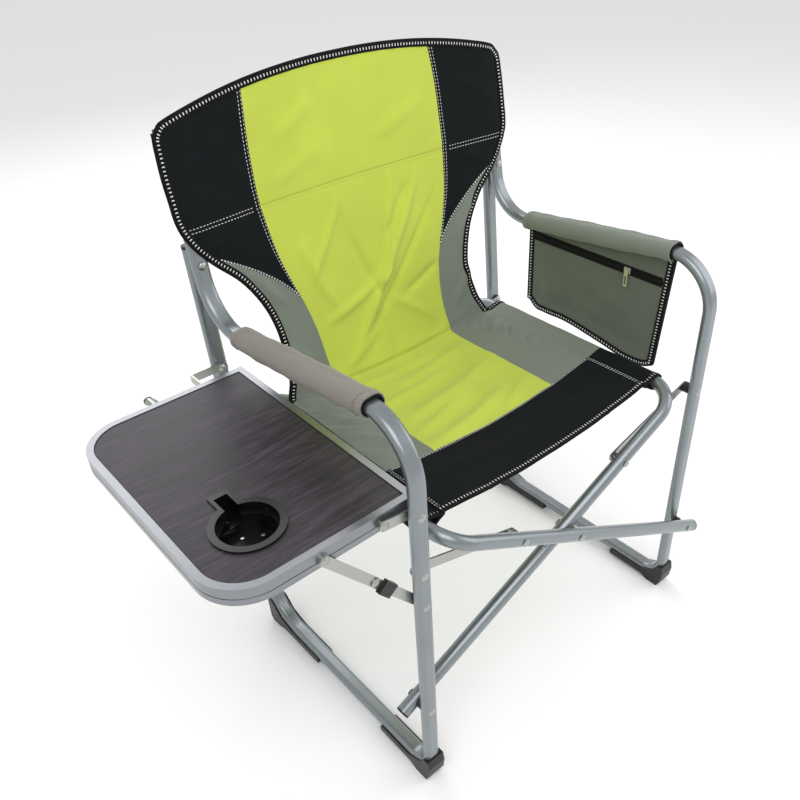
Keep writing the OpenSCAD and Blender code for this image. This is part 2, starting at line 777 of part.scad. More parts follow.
side_tube(-1);  // left_tube
tube_plugs(-1);  // left_tube_plugs
leg_cap(-1);  // left_leg_cap
front_foot(-1);  // left_front_foot
rear_foot(-1);  // left_rear_foot
left_pivot_pins();
left_spacers();
left_hinge_plates();
color(taupe) arm_sleeve(-1);  // left_arm_sleeve
back_sleeve(-1);  // left_back_sleeve
side_tube(1);  // right_tube
tube_plugs(1);  // right_tube_plugs
leg_cap(1);  // right_leg_cap
front_foot(1);  // right_front_foot
rear_foot(1);  // right_rear_foot
right_pivot_pins();
right_spacers();
color(khaki) arm_sleeve(1);  // right_arm_sleeve
back_sleeve(1);  // right_back_sleeve
pocket();
pocket_zip();
zip_slider();
zip_puller();
member(0);  // left_member
member_caps(0);  // left_member_caps
member_rivets(0);  // left_member_rivets
seat_sleeve(0);  // left_seat_sleeve
member(1);  // right_member
member_caps(1);  // right_member_caps
member_rivets(1);  // right_member_rivets
seat_sleeve(1);  // right_seat_sleeve
link(-1, front_left_plane, false);  // front_left_link
link(1, front_right_plane, false);  // front_right_link
link(-1, rear_left_plane, true);  // rear_left_link
link(1, rear_right_plane, true);  // rear_right_link
seat_half(-1);  // seat_left
seat_half(1);  // seat_right
back_half(-1);  // back_left
back_half(1);  // back_right
table_board();
table_gasket();
table_edge();
table_rivets();
cup_holder();
lower_strut(front_lower_plane, true);  // front_lower_strut
lower_strut(rear_lower_plane, false);  // rear_lower_strut
upper_strut(front_upper_plane);  // front_upper_strut
upper_strut(rear_upper_plane);  // rear_upper_strut
strut_lock(front_lower_plane, -1);  // front_strut_lock
strut_lock(rear_lower_plane, 1);  // rear_strut_lock
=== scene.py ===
# Looks of the folding camp chair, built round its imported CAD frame. All lengths are in metres.
import math

import bmesh
import bpy
import numpy as np
from mathutils import Matrix, Vector


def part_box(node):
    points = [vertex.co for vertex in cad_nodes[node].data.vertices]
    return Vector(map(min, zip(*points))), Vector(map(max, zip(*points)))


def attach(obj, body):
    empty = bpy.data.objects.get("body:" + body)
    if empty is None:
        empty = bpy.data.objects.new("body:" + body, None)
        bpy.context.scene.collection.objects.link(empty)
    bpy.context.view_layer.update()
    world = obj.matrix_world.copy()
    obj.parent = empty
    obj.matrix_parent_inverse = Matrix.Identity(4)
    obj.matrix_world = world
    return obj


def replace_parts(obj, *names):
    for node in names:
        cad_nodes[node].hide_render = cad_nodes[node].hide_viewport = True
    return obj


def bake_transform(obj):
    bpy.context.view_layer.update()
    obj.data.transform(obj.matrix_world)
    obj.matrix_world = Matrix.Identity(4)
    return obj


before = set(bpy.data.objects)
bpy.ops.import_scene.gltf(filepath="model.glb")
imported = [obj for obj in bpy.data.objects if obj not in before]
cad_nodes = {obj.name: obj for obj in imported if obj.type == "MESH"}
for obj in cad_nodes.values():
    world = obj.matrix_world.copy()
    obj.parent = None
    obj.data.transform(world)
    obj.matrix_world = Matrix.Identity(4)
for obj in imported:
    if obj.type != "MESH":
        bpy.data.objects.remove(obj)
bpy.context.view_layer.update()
MM = 0.001
SIDES = ((-1, "left"), (1, "right"))
scene = bpy.context.scene


# ---------- driving dimensions
def centre(node):
    low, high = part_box(node)
    return [(a + b) / 2 for a, b in zip(low, high)]


HALF_W = centre("right_tube")[0]
OVAL_W, OVAL_T = 26 * MM, 16 * MM
FRONT_Y, REAR_Y = -221 * MM, 221 * MM
LEAN, BACK_LEAN, ARM_SLOPE = math.radians(3.6), math.radians(8.8), math.radians(6.5)
RAIL_Z, ARM_Z, REAR_TOP, BACK_TOP = 20 * MM, 684 * MM, 745 * MM, 908 * MM
FOOT_R, HEEL_R, ARM_FRONT_R, ARM_REAR_R = 38 * MM, 76 * MM, 80 * MM, 75 * MM
SEAT_RAIL_X, _, SEAT_RAIL_Z = centre("right_seat_sleeve")
SEAT_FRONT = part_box("seat_left")[0].y
SEAM_Y = 188 * MM


def leg_y(z):
    return REAR_Y + z * math.tan(LEAN)


BACK_Y0 = leg_y(REAR_TOP) - OVAL_T - 0.8 * MM


def back_y(z):
    return BACK_Y0 + (z - REAR_TOP) * math.tan(BACK_LEAN)


def arm_height(y):
    return ARM_Z - (y - FRONT_Y) * math.tan(ARM_SLOPE)


# ---------- materials
def shader(name, colour, rough, metallic=0.0, **sockets):
    """A new material, its node tree and its shader. sockets holds input values by name."""
    mat = bpy.data.materials.new(name)
    mat.use_nodes = True
    tree = mat.node_tree
    bsdf = tree.nodes["Principled BSDF"]
    bsdf.inputs["Base Color"].default_value = (*colour, 1)
    bsdf.inputs["Roughness"].default_value = rough
    bsdf.inputs["Metallic"].default_value = metallic
    for key, value in sockets.items():
        bsdf.inputs[key.replace("_", " ")].default_value = value
    return mat, tree, bsdf


def add(tree, kind, **settings):
    """A new node. A setting is a property, or the value of an input or a socket to link to it."""
    node = tree.nodes.new(kind)
    for key, value in settings.items():
        if hasattr(node, key):
            setattr(node, key, value)
        elif isinstance(value, bpy.types.NodeSocket):
            tree.links.new(value, node.inputs[key])
        else:
            node.inputs[key.replace("_", " ")].default_value = value
    return node


def coordinates(tree, which="Object", scale=(1, 1, 1), rotation=(0, 0, 0)):
    source = add(tree, "ShaderNodeTexCoord").outputs[which]
    return add(tree, "ShaderNodeMapping", Vector=source, Scale=scale,
               Rotation=rotation).outputs["Vector"]


def noise(tree, vector, scale, detail, rough):
    return add(tree, "ShaderNodeTexNoise", Vector=vector, Scale=scale, Detail=detail,
               Roughness=rough).outputs["Fac"]


def ramp(tree, fac, stops):
    """Colours at positions along a factor: stops are (position, colour)."""
    node = add(tree, "ShaderNodeValToRGB", Fac=fac)
    elements = node.color_ramp.elements
    while len(elements) < len(stops):
        elements.new(0.5)
    for element, (place, colour) in zip(elements, stops):
        element.position = place
        element.color = (*colour, 1)
    return node.outputs["Color"]


def bump(tree, bsdf, height, strength, distance, **under):
    """Bumps on the whole surface, over the bumps of an earlier Normal if one is given."""
    node = add(tree, "ShaderNodeBump", Height=height, Strength=strength, Distance=distance, **under)
    tree.links.new(node.outputs["Normal"], bsdf.inputs["Normal"])
    return node.outputs["Normal"]


def combine(tree, operation, a, b):
    node = add(tree, "ShaderNodeMath", operation=operation)
    for socket, value in zip(node.inputs, (a, b)):
        if isinstance(value, (int, float)):
            socket.default_value = value
        else:
            tree.links.new(value, socket)
    return node.outputs["Value"]


def mixed(tree, a, b, share):
    """A share of a and the rest of b."""
    return combine(tree, "ADD", combine(tree, "MULTIPLY", a, share),
                   combine(tree, "MULTIPLY", b, 1 - share))


def scaled(colour, k):
    return tuple(min(1.0, c * k) for c in colour)


def surface(tree, bsdf, shade, stops, uneven=None, low=0.0, high=1.0):
    """Colours a surface through a ramp, and spreads its roughness from low to high."""
    tree.links.new(ramp(tree, shade, stops), bsdf.inputs["Base Color"])
    if uneven is not None:
        node = add(tree, "ShaderNodeMapRange", Value=uneven, To_Min=low, To_Max=high)
        tree.links.new(node.outputs["Result"], bsdf.inputs["Roughness"])


def fabric(name, colour, thread=1.1 * MM, sheen=0.2, relief=0.45, mottle=0.12, gloss=0.25):
    """Plain-weave canvas. UVs are in metres, so the threads keep their real size."""
    rough = 0.85
    mat, tree, bsdf = shader(name, colour, rough, Sheen_Weight=sheen, Sheen_Roughness=0.6,
                             Specular_IOR_Level=gloss)
    uv = coordinates(tree, "UV")
    # A wave texture of scale 1 turns through 20 radians in each metre
    cycles = 2 * math.pi / (20 * thread)
    threads = []
    for direction in ("X", "Y"):
        wave = add(tree, "ShaderNodeTexWave", wave_type="BANDS", bands_direction=direction,
                   wave_profile="SIN", Vector=uv, Scale=cycles, Distortion=0.6, Detail=1.0)
        threads.append(wave.outputs["Fac"])
    weave = combine(tree, "MULTIPLY", *threads)
    cloud = noise(tree, uv, scale=9.0, detail=4.0, rough=0.6)
    slub = noise(tree, uv, scale=420.0, detail=2.0, rough=0.6)
    shade = combine(tree, "ADD", mixed(tree, cloud, slub, 0.75),
                    combine(tree, "MULTIPLY", weave, 0.12))
    stops = [(0.25, scaled(colour, 1 - mottle)), (0.55, colour), (0.8, scaled(colour, 1 + mottle))]
    surface(tree, bsdf, shade, stops, slub, rough - 0.08, rough + 0.08)
    first = bump(tree, bsdf, weave, relief, 0.25 * MM)
    bump(tree, bsdf, slub, 0.2, 0.2 * MM, Normal=first)
    return mat


def metal(name, colour, rough, metallic, grain=0.0, fleck=900.0, coat=0.0):
    """Metal or metallic paint, with fine flecks and slight unevenness."""
    mat, tree, bsdf = shader(name, colour, rough, metallic, Coat_Weight=coat, Coat_Roughness=0.18)
    at = coordinates(tree)
    cloud = noise(tree, at, scale=14.0, detail=4.0, rough=0.6)
    flecks = noise(tree, at, scale=fleck, detail=2.0, rough=0.7)
    stops = [(0.3, scaled(colour, 0.88)), (0.52, colour), (0.75, scaled(colour, 1.1))]
    surface(tree, bsdf, mixed(tree, cloud, flecks, 0.5), stops, cloud, rough - 0.07, rough + 0.08)
    bump(tree, bsdf, flecks, 0.06 + grain, 0.15 * MM)
    return mat


def plastic(name, colour, rough, grain=0.25):
    """Moulded plastic with a fine spark-eroded grain."""
    mat, tree, bsdf = shader(name, colour, rough, Specular_IOR_Level=0.45)
    at = coordinates(tree)
    speck = noise(tree, at, scale=1400.0, detail=3.0, rough=0.6)
    cloud = noise(tree, at, scale=30.0, detail=3.0, rough=0.5)
    stops = [(0.35, scaled(colour, 0.75)), (0.7, scaled(colour, 1.4))]
    surface(tree, bsdf, cloud, stops, cloud, rough - 0.08, rough + 0.1)
    bump(tree, bsdf, speck, grain, 0.12 * MM)
    return mat


def wood_laminate(name):
    """Dark laminate with a grain that runs across the chair."""
    mat, tree, bsdf = shader(name, (0.05, 0.04, 0.045), 0.42, Specular_IOR_Level=0.4)
    at = coordinates(tree, scale=(2.2, 26.0, 1.0), rotation=(0, 0, math.radians(1.5)))
    bent = add(tree, "ShaderNodeTexNoise", Vector=at, Scale=1.4, Detail=2.0)
    shifted = add(tree, "ShaderNodeVectorMath", operation="MULTIPLY_ADD")
    tree.links.new(bent.outputs["Color"], shifted.inputs[0])
    shifted.inputs[1].default_value = (0.3, 1.6, 0.3)
    tree.links.new(at, shifted.inputs[2])
    grain = noise(tree, shifted.outputs["Vector"], scale=5.0, detail=8.0, rough=0.62)
    fine_at = coordinates(tree, scale=(14.0, 520.0, 1.0))
    shade = mixed(tree, grain, noise(tree, fine_at, scale=3.0, detail=3.0, rough=0.6), 0.62)
    stops = [(0.30, (0.006, 0.0045, 0.0065)), (0.45, (0.019, 0.015, 0.021)),
             (0.56, (0.043, 0.035, 0.046)), (0.72, (0.090, 0.077, 0.096))]
    surface(tree, bsdf, shade, stops, grain, 0.36, 0.56)
    bump(tree, bsdf, shade, 0.35, 0.25 * MM)
    return mat


def thread_material(name, colour):
    """Twisted sewing thread."""
    mat, tree, bsdf = shader(name, colour, 0.75, Sheen_Weight=0.3)
    twist = noise(tree, coordinates(tree), scale=1500.0, detail=2.0, rough=0.6)
    surface(tree, bsdf, twist, [(0.3, scaled(colour, 0.75)), (0.7, colour)])
    bump(tree, bsdf, twist, 0.3, 0.1 * MM)
    return mat


LIME = fabric("lime canvas", (0.49, 0.58, 0.065), mottle=0.09, sheen=0.15)
BLACK = fabric("black canvas", (0.0050, 0.0072, 0.0080), sheen=0.015, mottle=0.2, gloss=0.12)
GREY = fabric("grey-green canvas", (0.165, 0.190, 0.155), mottle=0.1)
TAUPE = fabric("taupe canvas", (0.215, 0.198, 0.170), thread=1.5 * MM, mottle=0.14, relief=0.7)
POCKET = fabric("pocket canvas", (0.100, 0.118, 0.088), mottle=0.12)
TAPE = fabric("black binding tape", (0.0045, 0.0048, 0.0052), thread=1.6 * MM, relief=0.6,
              mottle=0.3, sheen=0.02, gloss=0.14)
LINING = fabric("black lining", (0.005, 0.0052, 0.0055), thread=0.9 * MM, sheen=0.02, gloss=0.12)
ZIP_TAPE = fabric("zip tape", (0.0045, 0.0048, 0.005), thread=0.8 * MM, relief=0.5, sheen=0.02,
                  gloss=0.12)
WHITE_THREAD = thread_material("white thread", (0.86, 0.86, 0.82))
LIME_THREAD = thread_material("lime thread", (0.36, 0.45, 0.05))
GREY_THREAD = thread_material("grey thread", (0.22, 0.24, 0.20))
PAINT = metal("silver-grey paint", (0.235, 0.262, 0.275), 0.30, 0.7, coat=0.3)
ZINC = metal("zinc plate", (0.42, 0.43, 0.40), 0.32, 1.0, grain=0.05, fleck=500.0)
ALUMINIUM = metal("satin aluminium", (0.26, 0.27, 0.29), 0.30, 0.85, fleck=700.0)
CHROME = metal("zip metal", (0.55, 0.55, 0.53), 0.28, 0.7)
PLASTIC = plastic("black plastic", (0.0065, 0.0065, 0.007), 0.40)
GLOSSY_PLASTIC = plastic("glossy black plastic", (0.0028, 0.0028, 0.0031), 0.26, grain=0.08)
RUBBER = plastic("black edge strip", (0.008, 0.008, 0.008), 0.6, grain=0.4)
WOOD = wood_laminate("dark wood laminate")


# ---------- mesh helpers
def build(name, verts, faces, material, smooth=True, uvs=None, normals=None):
    """A new object from plain lists. uvs holds one pair for each vertex."""
    mesh = bpy.data.meshes.new(name)
    mesh.from_pydata([tuple(v) for v in verts], [], [tuple(f) for f in faces])
    mesh.materials.append(material)
    mesh.polygons.foreach_set("use_smooth", [smooth] * len(mesh.polygons))
    if uvs is not None:
        layer = mesh.uv_layers.new(name="UVMap")
        corner = np.zeros(len(mesh.loops), np.int32)
        mesh.loops.foreach_get("vertex_index", corner)
        layer.data.foreach_set("uv", np.asarray(uvs, np.float32)[corner].ravel())
    mesh.validate()
    mesh.update()
    if normals is not None:
        mesh.normals_split_custom_set_from_vertices([tuple(n) for n in normals])
    obj = bpy.data.objects.new(name, mesh)
    scene.collection.objects.link(obj)
    return obj


BEND_STEP = math.radians(3)


def unit(v):
    v = np.asarray(v, float)
    return v / np.maximum(np.linalg.norm(v, axis=-1, keepdims=True), 1e-12)


def rounded_path(pts, radii):
    """Points along straight runs joined by round bends, and how far into a bend each one is."""
    path, share = [pts[0]], [0.0]
    for i in range(1, len(pts) - 1):
        before, after = unit(pts[i] - pts[i - 1]), unit(pts[i + 1] - pts[i])
        turn = math.acos(float(before @ after))
        back_off = radii[i] * math.tan(turn / 2)
        start = pts[i] - before * back_off
        side = unit(after - before * (before @ after))
        centre = start + side * radii[i]
        count = max(3, int(turn / BEND_STEP))
        for k in range(count + 1):
            a = turn * k / count
            path.append(centre - side * radii[i] * math.cos(a) + before * radii[i] * math.sin(a))
            share.append(k / count)
    path.append(pts[-1])
    share.append(0.0)
    return np.array(path), np.array(share)


def along(path):
    """Distance of each point of a path from its start."""
    return np.concatenate([[0], np.cumsum(np.linalg.norm(np.diff(path, axis=0), axis=1))])


def tangents(path):
    t = np.empty_like(path)
    t[1:-1] = unit(path[2:] - path[1:-1]) + unit(path[1:-1] - path[:-2])
    t[0], t[-1] = path[1] - path[0], path[-1] - path[-2]
    return unit(t)


def round_length(outline):
    """Distance of each point of a closed outline from its start, and then its full length."""
    return along(np.vstack([outline, outline[:1]]))


def cross_axes(path):
    """The direction across the chair and the outward one, at each point of a path."""
    t = tangents(path)
    out = unit(np.cross(t, (1.0, 0.0, 0.0)))
    return np.cross(out, t), out


def ring_faces(rows, count):
    """Faces between neighbouring rings of points."""
    return [(i * count + k, i * count + (k + 1) % count,
             (i + 1) * count + (k + 1) % count, (i + 1) * count + k)
            for i in range(rows - 1) for k in range(count)]


def solid(name, path, side, out, profiles, material, angle):
    """A closed solid along a path. profiles holds each point's outline as pairs (sideways,
    outwards). Edges sharper than the angle stay hard."""
    rows, count = len(path), len(profiles[0])
    rings = [p + np.outer(prof[:, 0], s) + np.outer(prof[:, 1], o)
             for p, s, o, prof in zip(path, side, out, profiles)]
    uvs = [(g, d) for d in along(path) for g in round_length(profiles[0])[:-1]]
    ends = [tuple(range(count))[::-1], tuple(range((rows - 1) * count, rows * count))]
    obj = build(name, np.concatenate(rings), ring_faces(rows, count) + ends, material, uvs=uvs)
    sharpen(obj, angle)
    return obj


def sharpen(obj, angle):
    """Marks the hard edges of a smooth mesh."""
    bm = bmesh.new()
    bm.from_mesh(obj.data)
    bmesh.ops.recalc_face_normals(bm, faces=bm.faces)
    for e in bm.edges:
        if len(e.link_faces) == 2 and e.calc_face_angle(0.0) > angle:
            e.smooth = False
    bm.to_mesh(obj.data)
    bm.free()


def oval_outline(width, thick, count=44):
    """Flat oval: straight faces joined by half circles, as pairs (across the width, thickness)."""
    r = thick / 2
    flat = width / 2 - r
    steps = count // 2
    right = [(flat + r * math.cos(a), r * math.sin(a))
             for a in np.linspace(-math.pi / 2, math.pi / 2, steps - 6)]
    top = [(x, r) for x in np.linspace(flat, -flat, 8)[1:-1]]
    half = right + top
    return np.array(half + [(-x, -y) for x, y in half])


def interpolate(keys, x):
    """Smooth curve through (place, value) pairs."""
    xs, ys = zip(*keys)
    t = np.clip(np.asarray(x, float), xs[0], xs[-1])
    slopes = np.gradient(ys, xs)
    i = np.clip(np.searchsorted(xs, t) - 1, 0, len(xs) - 2)
    xs, ys = np.array(xs, float), np.array(ys, float)
    h = xs[i + 1] - xs[i]
    s = (t - xs[i]) / h
    return ((2 * s**3 - 3 * s**2 + 1) * ys[i] + (s**3 - 2 * s**2 + s) * h * slopes[i]
            + (-2 * s**3 + 3 * s**2) * ys[i + 1] + (s**3 - s**2) * h * slopes[i + 1])


def ease(x, low, high):
    t = np.clip((np.asarray(x, float) - low) / (high - low), 0, 1)
    return t * t * (3 - 2 * t)


# ---------- side frame tubes
def side_points():
    """Corners of a side frame, as (y, z), from the top of the backrest to the rear leg's top."""
    k, t = math.tan(ARM_SLOPE), math.tan(BACK_LEAN)
    # The arm's line meets the backrest's here
    z = (ARM_Z - k * (BACK_Y0 - t * REAR_TOP - FRONT_Y)) / (1 + t * k)
    return [(back_y(BACK_TOP), BACK_TOP), (back_y(z), z), (FRONT_Y, ARM_Z), (FRONT_Y, RAIL_Z),
            (leg_y(RAIL_Z), RAIL_Z), (leg_y(REAR_TOP), REAR_TOP)]


def fluted(outline, amount):
    """Presses three flutes into the flat face on the inside of a bend."""
    place = outline[:, 0] / (OVAL_W * 0.42)
    wave = 0.5 + 0.5 * np.cos(place * 3 * math.pi)
    depth = amount * (1 - ease(np.abs(place), 0.75, 1.0)) * wave
    out = outline.copy()
    out[:, 1] += np.where(outline[:, 1] < 0, depth, 0)
    return out


# Bends counted from the top of the backrest: into the arm, arm front, foot and heel
FLUTED_BENDS, FLUTE_DEPTH = (1, 4), 1.5 * MM


def side_tube(side, name):
    points = [np.array([side * HALF_W, y, z]) for y, z in side_points()]
    radii = [0, ARM_REAR_R, ARM_FRONT_R, FOOT_R, HEEL_R, 0]
    path, share = rounded_path(points, radii)
    outline = oval_outline(OVAL_W, OVAL_T)
    profiles, bend = [], 0
    for i, s in enumerate(share):
        # A new bend begins where share goes back to zero
        if s == 0.0 and 0 < i < len(share) - 1:
            bend += 1
        amount = FLUTE_DEPTH * ease(s, 0.08, 0.3) * (1 - ease(s, 0.7, 0.92))
        profiles.append(fluted(outline, amount if bend in FLUTED_BENDS else 0))
    obj = solid(name, path, *cross_axes(path), profiles, PAINT, math.radians(40))
    return obj


for side, word in SIDES:
    tube = side_tube(side, f"{word}_side_tube")
    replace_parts(tube, f"{word}_tube")
    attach(tube, f"{word}_frame")


# ---------- sling: one sewn sheet
# Height and half width of the back, and of the lime panel, in mm
EDGE = [(470, 233), (500, 213), (532, 206), (565, 203), (600, 207), (640, 220), (684, 247),
        (722, 283), (750, 305), (776, 318), (828, 323), (914, 320), (960, 318)]
PANEL = [(450, 130), (530, 131), (569, 135), (618, 147), (655, 159), (695, 170), (775, 181),
         (860, 179), (915, 171), (951, 162), (962, 160)]
# The panel's seam is the 15th column from the middle, this far out on the seat
PANEL_COLUMN, SEAT_PANEL = 15, 130 * MM
BAND_Y = -57 * MM
DIP_CENTRE, DIP_EDGE = 604 * MM, 740 * MM
CROSS_SEAM = 775 * MM
CORNER_TOP, CROWN = 917 * MM, 41 * MM
ROW_STEP = 10 * MM
STITCH_GAP = 3.5 * MM
SLEEVE_R = 13.6 * MM
SAG = 20 * MM
SEAT_EDGE = 223 * MM
CORNER_R = 19 * MM
BELLY = 14 * MM
CLOTH_T = 1.4 * MM
# Outside these half widths the cloth is held while it settles
SEAT_HELD, BACK_HELD = 208 * MM, 287 * MM
SETTLE_FRAMES, GRAVITY_SHARE = 24, 0.3
CLOTH = dict(quality=8, mass=0.2, tension_stiffness=90, compression_stiffness=90,
             shear_stiffness=40, bending_stiffness=4, air_damping=3, vertex_group_mass="pin",
             shrink_min=-0.002)


def seat_z(x):
    """Top of the seat before the cloth settles."""
    return SEAT_RAIL_Z + SLEEVE_R - SAG * (1 - np.clip(np.abs(x) / SEAT_RAIL_X, 0, 1) ** 2)


def steps(low, high, size):
    count = max(2, int(round(abs(high - low) / size)))
    return list(np.linspace(low, high, count + 1))


def half_columns(edge, panel):
    """X of the columns of half a row, from the middle to the edge, closer at seam and edge."""
    centre = [panel * k / PANEL_COLUMN for k in range(PANEL_COLUMN)]
    low, high = panel + 15 * MM, edge - 13 * MM
    side = [low + (high - low) * k / 6 for k in range(1, 6)]
    seam = [panel, panel + 3 * MM, panel + 9 * MM, low]
    return centre + seam + side + [high, edge - 6.5 * MM, edge]


def full_row(half):
    return np.concatenate([-np.array(half[:0:-1]), np.array(half)])


def seat_rows():
    ys = (steps(SEAT_FRONT, SEAT_FRONT + 12 * MM, 6 * MM)
          + steps(SEAT_FRONT + 12 * MM, BAND_Y - STITCH_GAP, ROW_STEP)[1:]
          + [BAND_Y] + steps(BAND_Y + STITCH_GAP, SEAM_Y, ROW_STEP))
    rows = []
    for y in ys:
        x = full_row(half_columns(SEAT_EDGE, SEAT_PANEL))
        rail = seat_z(SEAT_EDGE)
        tight = 0.6 + 0.4 * ease(y, SEAT_FRONT, SEAT_FRONT + 150 * MM)
        rows.append(np.stack([x, np.full_like(x, y), rail + (seat_z(x) - rail) * tight], axis=1))
    return rows, ys.index(BAND_Y)


def back_front_y(z):
    """Front of the back panel, which falls forward a little to the seat."""
    low = 560 * MM
    return (np.vectorize(back_y)(z) - 10.6 * MM
            - 10 * MM * (np.clip(low - z, 0, None) / (90 * MM)) ** 2)


def back_rows():
    """Rows from the seat up, and the numbers of the rows at the dip and at the cross seam.

    Each is first (height at the middle, height at the edge, share of the seat's shape)."""
    rows = [(f * DIP_CENTRE, f * DIP_EDGE, 1 - f) for f in np.linspace(0, 1, 21)[1:]]
    dip = len(rows)
    low = CROSS_SEAM - STITCH_GAP
    for f in np.linspace(0, 1, 16)[1:]:
        rows.append((DIP_CENTRE + (low - DIP_CENTRE) * f, DIP_EDGE + (low - DIP_EDGE) * f, 0))
    rows += [(CROSS_SEAM, CROSS_SEAM, 0)]
    cross = len(rows)
    rows += [(z, z, 0) for z in steps(CROSS_SEAM + STITCH_GAP, CORNER_TOP - 12 * MM, ROW_STEP)
             + [CORNER_TOP - 6 * MM, CORNER_TOP]]
    out = []
    for z_mid, z_edge, ground in rows:
        edge = float(interpolate(EDGE, (z_edge + ground * seat_z(230 * MM)) / MM)) * MM
        panel = float(interpolate(PANEL, (z_mid + ground * seat_z(SEAT_PANEL)) / MM)) * MM
        x = full_row(half_columns(edge, panel))
        t = np.clip((np.abs(x) - panel) / (edge - panel), 0, 1) ** 0.65
        z = (z_mid + (z_edge - z_mid) * t) + ground * seat_z(x)
        rise = ease(z, CORNER_TOP - 120 * MM, CORNER_TOP)
        z = z + rise * CROWN * (1 - (np.abs(x) / (321 * MM)) ** 2.2)
        belly = BELLY * (1 - np.clip(np.abs(x) / (285 * MM), 0, 1) ** 2)
        y = back_front_y(z) + belly * ease(z, 520 * MM, 760 * MM)
        out.append(np.stack([x, y, z], axis=1))
    return out, dip, cross


def simulate(points, faces, pinned):
    """Lets a pinned cloth settle, and returns where its points come to rest."""
    obj = build("settling", points, faces, LIME)
    group = obj.vertex_groups.new(name="pin")
    group.add([int(i) for i in np.flatnonzero(pinned)], 1.0, "REPLACE")
    cloth = obj.modifiers.new("Cloth", "CLOTH")
    for key, value in CLOTH.items():
        setattr(cloth.settings, key, value)
    cloth.settings.effector_weights.gravity = GRAVITY_SHARE
    cloth.collision_settings.use_collision = False
    cloth.point_cache.frame_start, cloth.point_cache.frame_end = 1, SETTLE_FRAMES
    for f in range(1, SETTLE_FRAMES + 1):
        scene.frame_set(f)
    settled = obj.evaluated_get(bpy.context.evaluated_depsgraph_get())
    co = np.zeros(len(points) * 3, np.float32)
    settled.data.vertices.foreach_get("co", co)
    bpy.data.objects.remove(obj)
    scene.frame_set(1)
    return co.reshape(-1, 3).astype(float)


def twice_as_fine(grid):
    """Adds a point between each two, on a smooth curve, along both directions."""
    for axis in (0, 1):
        g = np.moveaxis(grid, axis, 0)
        ext = np.concatenate([2 * g[:1] - g[1:2], g, 2 * g[-1:] - g[-2:-1]])
        mid = (-ext[:-3] + 9 * ext[1:-2] + 9 * ext[2:-1] - ext[3:]) / 16
        out = np.empty((2 * len(g) - 1, *g.shape[1:]))
        out[0::2], out[1::2] = g, mid
        grid = np.moveaxis(out, 0, axis)
    return grid


def grid_normals(grid):
    du, dv = np.gradient(grid, axis=1), np.gradient(grid, axis=0)
    return unit(np.cross(du, dv))


def steady_corners(normals):
    """Normals for the two rounded corners, where rows and columns run the same way."""
    normals[-6:, :6] = normals[-7, 6]
    normals[-6:, -6:] = normals[-7, -7]
    return normals


def grid_faces(rows, cols):
    return [(r * cols + c, r * cols + c + 1, (r + 1) * cols + c + 1, (r + 1) * cols + c)
            for r in range(rows - 1) for c in range(cols - 1)]


def cloth_panel(name, grid, normals, uv, material):
    """A thin closed sheet over part of a grid."""
    rows, cols = grid.shape[:2]
    count = rows * cols
    front = (grid + normals * CLOTH_T / 2).reshape(-1, 3)
    back = (grid - normals * CLOTH_T / 2).reshape(-1, 3)
    faces = grid_faces(rows, cols)
    faces += [tuple(count + i for i in f[::-1]) for f in grid_faces(rows, cols)]
    at = np.arange(count).reshape(rows, cols)
    rim = [*at[::-1, 0], *at[0, 1:], *at[1:, -1], *at[-1, -2:0:-1]]
    for a, b in zip(rim, rim[1:] + rim[:1]):
        faces.append((b, a, count + a, count + b))
    flat = normals.reshape(-1, 3)
    return build(name, np.concatenate([front, back]), faces, material,
                 uvs=np.concatenate([uv.reshape(-1, 2)] * 2), normals=np.concatenate([flat, -flat]))


def round_corners(grid, radius):
    """Pulls the sheet's two top corners in to a radius."""
    x, z = grid[..., 0], grid[..., 2]
    edge = np.abs(x[:, :1])
    top = z[-1][None, :]
    u = np.clip(1 - (edge - np.abs(x)) / radius, 0, 1)
    v = np.clip(1 - (top - z) / radius, 0, 1)
    grid[..., 0] -= np.sign(x) * radius * u * (1 - np.sqrt(1 - v * v / 2))
    grid[..., 2] -= radius * v * (1 - np.sqrt(1 - u * u / 2))


seat, band_row = seat_rows()
back, dip_row, cross_row = back_rows()
seam_row = len(seat) - 1
dip_row += seam_row
cross_row += seam_row
sheet = np.array(seat + back)
round_corners(sheet[cross_row + 2:], CORNER_R)
flat_sheet = sheet.copy()
# Rows and columns of the grid that is twice as fine
SEAM, DIP, CROSS, BAND = 2 * seam_row, 2 * dip_row, 2 * cross_row, 2 * band_row
TOP, LAST = 2 * (len(sheet) - 1), 2 * (sheet.shape[1] - 1)
middle = LAST // 2
PANEL_L, PANEL_R = middle - 2 * PANEL_COLUMN, middle + 2 * PANEL_COLUMN

x_abs = np.abs(sheet[..., 0])
pinned = np.zeros(sheet.shape[:2], bool)
pinned[:seam_row + 1] = x_abs[:seam_row + 1] > SEAT_HELD
pinned[cross_row:] = x_abs[cross_row:] > BACK_HELD
pinned[-2:] = True
sheet = simulate(sheet.reshape(-1, 3), grid_faces(*sheet.shape[:2]),
                 pinned.ravel()).reshape(sheet.shape)
# Both halves of the sling are cut alike, so the settled sheet is made symmetric
sheet = (sheet + sheet[:, ::-1] * np.array([-1, 1, 1])) / 2


# Folds are (start, end, width, height) in mm, each point two numbers: x with y on the seat, and
# x with z on the back. CREASE multiplies every height.
CREASE = 2.6


def crease(x, z, x0, z0, x1, z1, width, height):
    """Height of one soft fold that runs from x0, z0 to x1, z1 on the sheet."""
    start, end = np.array((x0, z0)) * MM, np.array((x1, z1)) * MM
    length = np.linalg.norm(end - start)
    d = (end - start) / length
    p, q = x - start[0], z - start[1]
    s = (p * d[0] + q * d[1]) / length
    off = q * d[0] - p * d[1] - 0.10 * length * (s - 0.5) ** 2
    fade = ease(s, -0.15, 0.25) * (1 - ease(s, 0.75, 1.15))
    return CREASE * height * MM * fade * np.exp(-((off / (width * MM)) ** 2))


